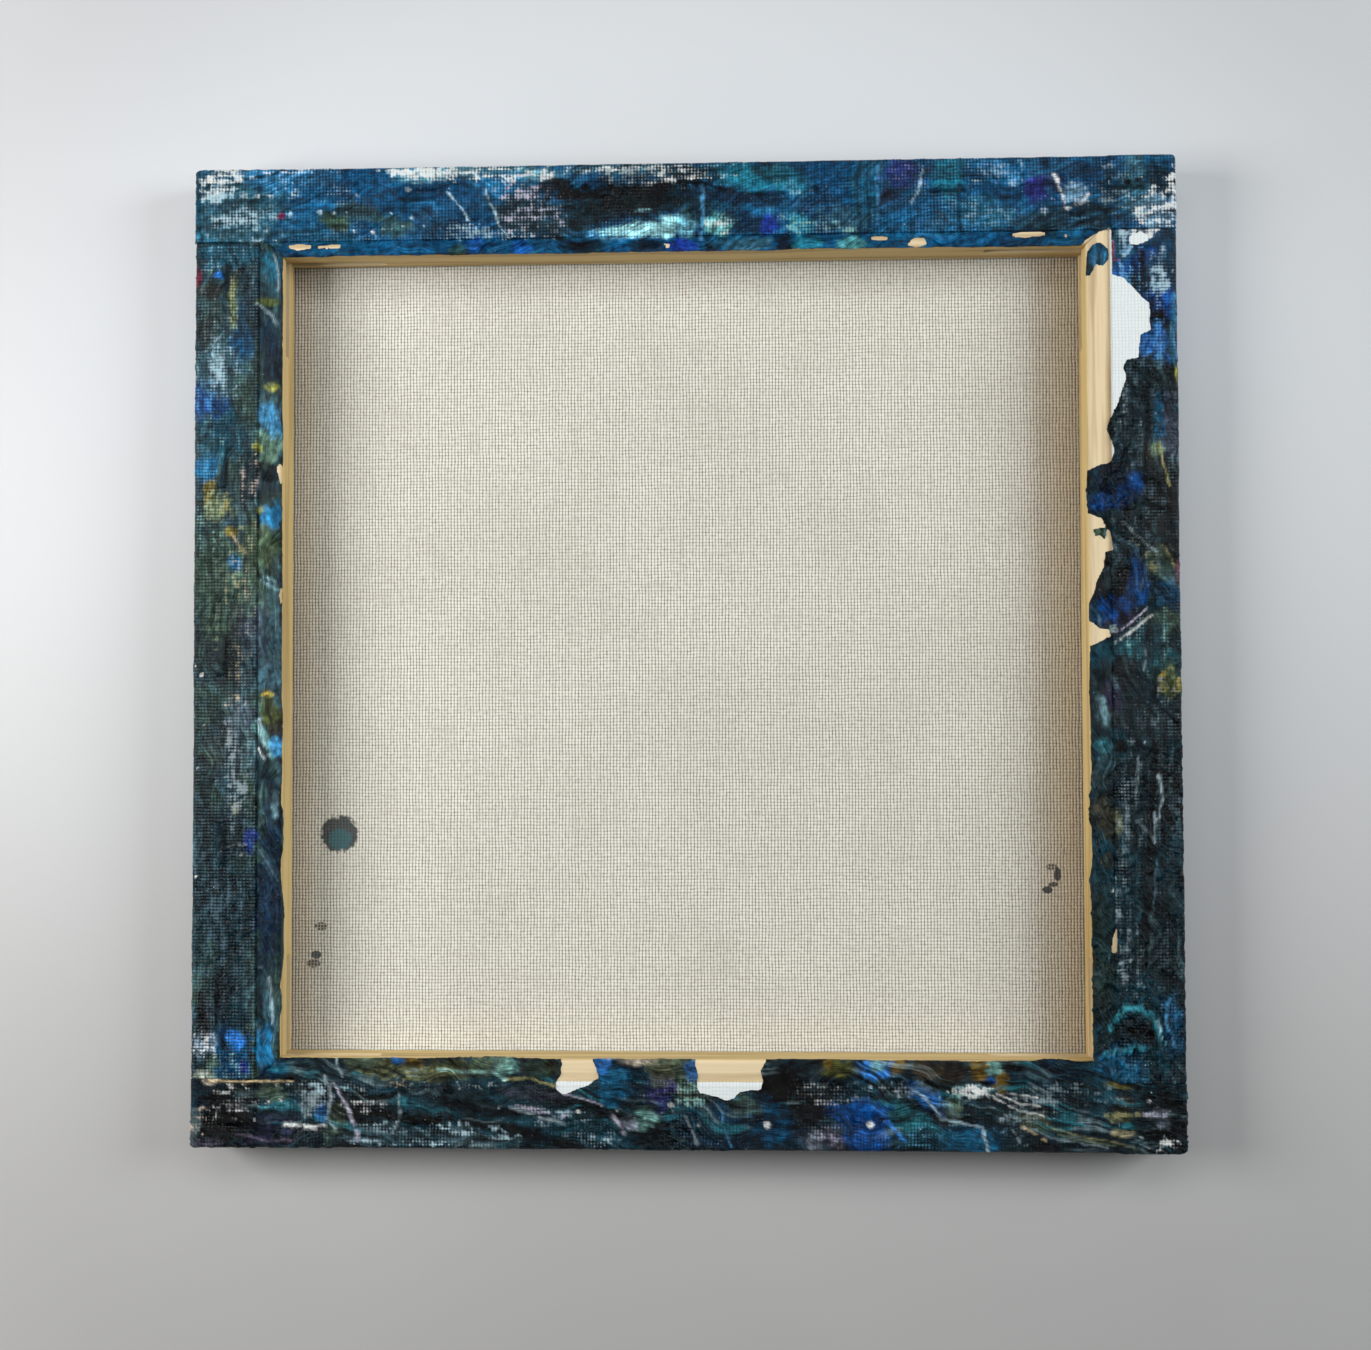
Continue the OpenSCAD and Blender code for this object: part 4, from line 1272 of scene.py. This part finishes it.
def weave_height(g, place, pitch):
    """Threads over and under one another: 1 on top of each crossing, 0 in the holes."""
    wander = g.noise(place, 0.09, 2.0, out=1)
    wander = g.vector("SUBTRACT", wander, (0.5, 0.5, 0.5))
    wander = g.vector("MULTIPLY", wander, (0.8, 0.8, 0.0))
    place = g.vector("ADD", place, wander)
    parts = g.nodes.new("ShaderNodeSeparateXYZ")
    g.put(parts.inputs[0], place)
    waves = []
    for axis in (0, 1):
        turn = g.math("MULTIPLY", parts.outputs[axis], math.pi / pitch)
        waves.append(g.math("ABSOLUTE", g.math("SINE", turn)))
    threads = g.math("MULTIPLY", waves[0], waves[1])
    # One of the two sets of threads stands a little prouder
    return g.math("ADD", g.math("MULTIPLY", threads, 0.75), g.math("MULTIPLY", waves[0], 0.25))


def paint_material():
    """Glossy acrylic over a weave: its colours and its facts come from the mesh."""
    g = Graph("acrylic_paint")
    place = g.attribute("cloth", "Vector")
    facts = g.nodes.new("ShaderNodeSeparateColor")
    g.put(facts.inputs[0], g.attribute("facts"))
    dry_and_glint, smoothness, thick = facts.outputs
    weave = weave_height(g, place, WEAVE)
    open_weave = g.math("SUBTRACT", 1.0, smoothness)
    fine = g.noise(place, 1.9, 4.0, 0.65)
    mottle = g.noise(place, 0.42, 5.0, 0.6)
    sweep = g.vector("MULTIPLY", g.attribute("sweep", "Vector"), (1.7, 0.13, 1.0))
    bristle = g.noise(sweep, 1.0, 4.0, 0.65)
    # Thick paint dries in wrinkles
    folds = g.noise(g.vector("MULTIPLY", g.attribute("sweep", "Vector"), (0.34, 0.13, 1.0)), 1.0, 3.0)
    folds = g.ramp(g.math("ABSOLUTE", g.math("SUBTRACT", folds, 0.5)), 0.0, 0.07, 1.0, 0.0)
    folds = g.math("MULTIPLY", folds, thick)
    # Dry brushing, and the painted highlight on the thread tops, take on the tops of the threads first
    catch = g.math("ADD", g.math("MULTIPLY", weave, open_weave), g.math("MULTIPLY", smoothness, 0.5))
    catch = g.math("ADD", g.math("MULTIPLY", catch, 0.62), g.math("MULTIPLY", fine, 0.38))
    catch = g.math("ADD", catch, g.math("MULTIPLY", g.math("SUBTRACT", mottle, 0.5), 0.9))
    level = g.math("SUBTRACT", 1.02, g.math("MULTIPLY", dry_and_glint, 0.85))
    caught = g.ramp(g.math("SUBTRACT", catch, level), -0.3, 0.34)
    caught = g.math("MULTIPLY", caught, g.ramp(dry_and_glint, 0.0, 0.8, 0.15, 0.95))
    shade = g.ramp(mottle, 0.3, 0.7, 0.5, 1.6)
    shade = g.math("MULTIPLY", shade, g.ramp(bristle, 0.3, 0.72, 0.5, 1.7))
    # Painted shade in the weave's hollows, and a painted highlight on the threads' tops
    weave_shade = g.ramp(g.math("ADD", weave, smoothness), 0.05, 0.9, 0.35, 1.45)
    shade = g.math("MULTIPLY", shade, weave_shade)
    colour = g.mix(1.0, g.attribute("paint"), shade, "MULTIPLY")
    colour = g.mix(caught, colour, g.attribute("dry_and_glint"))
    # Scattered flecks of pale paint, partly painted glints, and finer painted glints on the threads
    dots = g.node("TexVoronoi", Vector=place, Scale=0.32, Randomness=1.0)
    fleck_and_glint = g.math("MULTIPLY", g.ramp(dots, 0.1, 0.045), g.ramp(mottle, 0.55, 0.6))
    glint_dots = g.node("TexVoronoi", Vector=place, Scale=0.85, Randomness=1.0)
    painted_glints = g.math("MULTIPLY", g.ramp(glint_dots, 0.19, 0.1), g.ramp(fine, 0.5, 0.62))
    painted_glints = g.math("MULTIPLY", painted_glints, g.ramp(bristle, 0.45, 0.6))
    fleck_and_glint = g.math("MAXIMUM", fleck_and_glint, g.math("MULTIPLY", painted_glints, 0.6))
    colour = g.mix(g.math("MULTIPLY", fleck_and_glint, 0.75), colour, rgba("C9D6DA"))
    # Painted sheen: a paler colour along the wrinkles
    colour = g.mix(g.math("MULTIPLY", folds, 0.18), colour, rgba("3C545C"))
    height = g.math("MULTIPLY", g.math("MULTIPLY", weave, open_weave), 0.15)
    height = g.math("ADD", height, g.math("MULTIPLY", caught, 0.08))
    height = g.math("ADD", height, g.math("MULTIPLY", fleck_and_glint, 0.2))
    bristled = g.math("MULTIPLY", bristle, g.ramp(smoothness, 0, 0.7, 0.25, 0.95))
    height = g.math("ADD", height, bristled)
    height = g.math("ADD", height, g.math("MULTIPLY", fine, 0.1))
    height = g.math("ADD", height, g.math("MULTIPLY", folds, 0.28))
    gloss = g.ramp(thick, 0.0, 1.0, 0.13, 0.1)
    rough = g.ramp(mottle, 0.3, 0.7, 0.13, 0.26)
    rough = g.math("ADD", rough, g.math("MULTIPLY", caught, 0.2))
    return g.finish(colour, rough, height, 0.001, Specular_IOR_Level=gloss)


def pine_material(name, along, offset):
    """Pine with its grain along the given axis, 0 or 1."""
    g = Graph(name)
    place = g.node("TexCoord", out=3)
    place = g.vector("ADD", place, offset)
    stretch = [60.0, 60.0, 60.0]
    stretch[along] = 2.2
    long_place = g.vector("MULTIPLY", place, tuple(stretch))
    sway = g.noise(g.vector("MULTIPLY", place, tuple(s * 0.2 for s in stretch)), 1.0, 2.0, out=1)
    sway = g.vector("MULTIPLY", sway, (1.6, 1.6, 1.6))
    rings_at = g.vector("ADD", g.vector("MULTIPLY", long_place, (5.0, 5.0, 5.0)), sway)
    rings = g.noise(rings_at, 1.0, 3.0, 0.5)
    fine = g.noise(g.vector("MULTIPLY", long_place, (14.0, 14.0, 14.0)), 1.0, 3.0, 0.6)
    broad = g.noise(place, 14.0, 3.0)
    tone = g.ramp(rings, 0.46, 0.64)
    light = rgba((0.70, 0.565, 0.35))
    dark = rgba((0.38, 0.26, 0.12))
    colour = g.mix(g.math("MULTIPLY", tone, 0.7), light, dark)
    colour = g.mix(g.ramp(fine, 0.5, 0.75, 0.0, 0.4), colour, rgba((0.48, 0.34, 0.19)))
    colour = g.mix(g.ramp(broad, 0.35, 0.7, 0.0, 0.3), colour, rgba((0.76, 0.64, 0.44)))
    # Painted shade: the upright faces are darker and warmer than the backs
    facing = g.nodes.new("ShaderNodeSeparateXYZ")
    g.put(facing.inputs[0], g.node("NewGeometry", out=1))
    upright_shade = g.ramp(g.math("ABSOLUTE", facing.outputs[2]), 0.9, 0.3)
    colour = g.mix(upright_shade, colour, rgba((0.92, 0.84, 0.57)), "MULTIPLY")
    height = g.math("ADD", g.math("MULTIPLY", fine, 0.12), g.math("MULTIPLY", rings, 0.1))
    rough = g.ramp(fine, 0.3, 0.7, 0.55, 0.75)
    return g.finish(colour, rough, height, 0.001)


def cloth_material(name, light, dark, relief, painted_side_shade=False, marks=()):
    """Plain woven cloth. A mark is (place, half sizes, colour, how far it fills the weave)."""
    g = Graph(name)
    place = g.vector("MULTIPLY", g.node("TexCoord", out=3), (1000.0, 1000.0, 1000.0))
    weave = weave_height(g, place, WEAVE)
    slub = g.noise(g.vector("MULTIPLY", place, (0.05, 0.9, 1.0)), 1.0, 2.0, 0.7)
    slub_across = g.noise(g.vector("MULTIPLY", place, (0.9, 0.05, 1.0)), 1.0, 2.0, 0.7)
    cloudy = g.noise(place, 0.02, 3.0)
    speckle = g.noise(place, 0.8, 2.0, 0.6)
    lines = g.math("ADD", slub, slub_across)
    # Painted shade in the gaps between the threads
    hole = g.math("ADD", weave, g.math("MULTIPLY", g.math("SUBTRACT", speckle, 0.5), 0.6))
    colour = g.mix(g.ramp(hole, 0.0, 0.62), dark, light)
    thin = g.mix(0.5, dark, light)
    colour = g.mix(g.ramp(lines, 0.9, 1.35, 0.0, 0.5), colour, thin)
    colour = g.mix(g.ramp(cloudy, 0.35, 0.7, 0.0, 0.1), colour, dark)
    if painted_side_shade:
        # Painted shade: the cloth is darkened and warmed beside the side bars, the right one more
        parts = g.nodes.new("ShaderNodeSeparateXYZ")
        g.put(parts.inputs[0], place)
        right_shade = g.ramp(parts.outputs[0], 103, 121, 0, 0.85)
        left_shade = g.ramp(parts.outputs[0], -113, -121, 0, 0.5)
        brown = g.math("ADD", right_shade, left_shade)
        colour = g.mix(brown, colour, rgba((0.66, 0.56, 0.44)), "MULTIPLY")
    for (mx, my), (rx, ry), code, fill in marks:
        gap = g.vector("SUBTRACT", place, (mx, my, 0.0))
        gap = g.vector("MULTIPLY", gap, (1 / rx, 1 / ry, 0.0))
        r = g.node("VectorMath", out=1, settings={"operation": "LENGTH"}, n0=gap)
        ragged = g.noise(place, 0.7, 3.0, 0.6)
        r = g.math("ADD", r, g.math("MULTIPLY", g.math("SUBTRACT", ragged, 0.5), 0.7))
        mark = g.math("MULTIPLY", g.ramp(r, 1.05, 0.85), g.ramp(weave, 0.75 - fill, 1.0 - fill))
        colour = g.mix(g.math("MULTIPLY", mark, 0.9), colour, rgba(code))
    height = g.math("ADD", weave, g.math("MULTIPLY", lines, 0.5))
    height = g.math("MULTIPLY", height, relief)
    return g.finish(colour, 0.85, height, 0.001)


def steel_material():
    """Bright wire, drawn lengthwise."""
    g = Graph("staple_steel")
    place = g.node("TexCoord", out=3)
    grain = g.noise(g.vector("MULTIPLY", place, (900.0, 3000.0, 900.0)), 1.0, 3.0)
    colour = g.mix(g.ramp(grain, 0.3, 0.7), rgba((0.5, 0.5, 0.5)), rgba((0.62, 0.62, 0.63)))
    return g.finish(colour, g.ramp(grain, 0.3, 0.7, 0.28, 0.45), grain, 0.0001, Metallic=1.0)


def floor_material():
    """The white ground, with painted shade toward the viewer and far from the canvas."""
    g = Graph("white_ground")
    place = g.node("TexCoord", out=3)
    parts = g.nodes.new("ShaderNodeSeparateXYZ")
    g.put(parts.inputs[0], place)
    painted_light_top, painted_shade_bottom = rgba((0.60, 0.63, 0.66)), rgba((0.41, 0.41, 0.405))
    # Painted shade: darker toward the viewer
    colour = g.mix(g.ramp(parts.outputs[1], 0.2, -0.22), painted_light_top, painted_shade_bottom)
    # Painted shade: greyer far from the canvas
    far = g.node("VectorMath", out=1, settings={"operation": "LENGTH"}, n0=place)
    colour = g.mix(g.ramp(far, 0.18, 0.29, 0.0, 0.48), colour, rgba((0.36, 0.36, 0.36)))
    tone = g.noise(place, 6.0, 3.0)
    colour = g.mix(g.ramp(tone, 0.3, 0.7, 0.0, 0.06), colour, rgba((0.7, 0.7, 0.7)))
    return g.finish(colour, 0.45)


# ---- putting it together ---------------------------------------------------------------

paint = paint_material()
primed = cloth_material("primed_cloth", rgba((0.74, 0.79, 0.79)), rgba((0.62, 0.67, 0.68)), 0.12)
raw = cloth_material(
    "raw_cloth",
    rgba((0.80, 0.80, 0.73)),
    rgba((0.24, 0.20, 0.15)),
    0.2,
    painted_side_shade=True,
    marks=(
        ((-108.3, -55.7), (6.2, 5.9), "16292E", 1.0),
        ((-108.0, -57.4), (3.8, 3.6), "3F656C", 0.9),
        ((-113.9, -84.6), (2.2, 1.4), "2C3030", 0.45),
        ((-115.4, -93.4), (1.8, 1.3), "2E3C46", 0.8),
        ((-116.2, -96.2), (2.4, 1.4), "2C3030", 0.5),
        ((113.2, -66.0), (1.8, 1.0), "2C3030", 0.45),
        ((114.9, -68.4), (1.1, 2.3), "1E2832", 0.9),
        ((113.6, -71.4), (1.5, 0.8), "1E2832", 0.7),
        ((111.8, -73.1), (1.6, 1.2), "1E2832", 0.95),
    ),
)

for side, name in enumerate(SIDES):
    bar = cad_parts[f"bar_{name}"]
    bar.data.materials.clear()
    offset = (0.31 * side, 0.17 * side, 0.0)
    bar.data.materials.append(pine_material(f"pine_{name}", side % 2, offset))
    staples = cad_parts[f"staples_{name}"]
    staples.data.materials.clear()
    staples.data.materials.append(steel_material())
    paint_side(side, paint)

paint_face(paint)
cloth_sheet(primed, raw)

# ---- ground, light and camera ----------------------------------------------------------

ground_mesh = bpy.data.meshes.new("ground")
ground_mesh.from_pydata(
    [(-3, -3, -0.0002), (3, -3, -0.0002), (3, 3, -0.0002), (-3, 3, -0.0002)], [], [(0, 1, 2, 3)]
)
ground_mesh.materials.append(floor_material())
ground = bpy.data.objects.new("ground", ground_mesh)
bpy.context.scene.collection.objects.link(ground)


def area_light(name, place, target, size, power, colour):
    data = bpy.data.lights.new(name, "AREA")
    data.shape = "RECTANGLE"
    data.size, data.size_y = size
    data.energy = power
    data.color = colour
    lamp = bpy.data.objects.new(name, data)
    lamp.location = place
    aim = Vector(target) - Vector(place)
    lamp.rotation_euler = aim.to_track_quat("-Z", "Y").to_euler()
    bpy.context.scene.collection.objects.link(lamp)
    return lamp


top = area_light("top_light", (0.0, 0.8, 1.15), (0, 0, 0), (1.2, 0.4), 4.8, (1.0, 0.99, 0.97))
left = area_light("left_light", (-0.62, 0.06, 0.45), (-0.05, 0, 0), (0.35, 0.4), 5.7, (1.0, 0.98, 0.96))
right = area_light("right_light", (0.90, 0.2, 0.58), (0, 0, 0), (0.45, 0.6), 8.8, (0.95, 0.98, 1.0))

world = bpy.data.worlds.new("room")
bpy.context.scene.world = world
world.use_nodes = True
world.node_tree.nodes["Background"].inputs[0].default_value = (0.95, 0.97, 1.0, 1)
world.node_tree.nodes["Background"].inputs[1].default_value = 0.05

lens = bpy.data.cameras.new("camera")
lens.sensor_fit = "HORIZONTAL"
lens.sensor_width = 36
lens.lens = 47.27
camera = bpy.data.objects.new("camera", lens)
camera.location = (0.0251, -0.0248, 0.5613)
camera.rotation_euler = [math.radians(a) for a in (1.87, 2.52, -0.18)]
bpy.context.scene.collection.objects.link(camera)
bpy.context.scene.camera = camera
bpy.context.scene.view_settings.view_transform = "Standard"
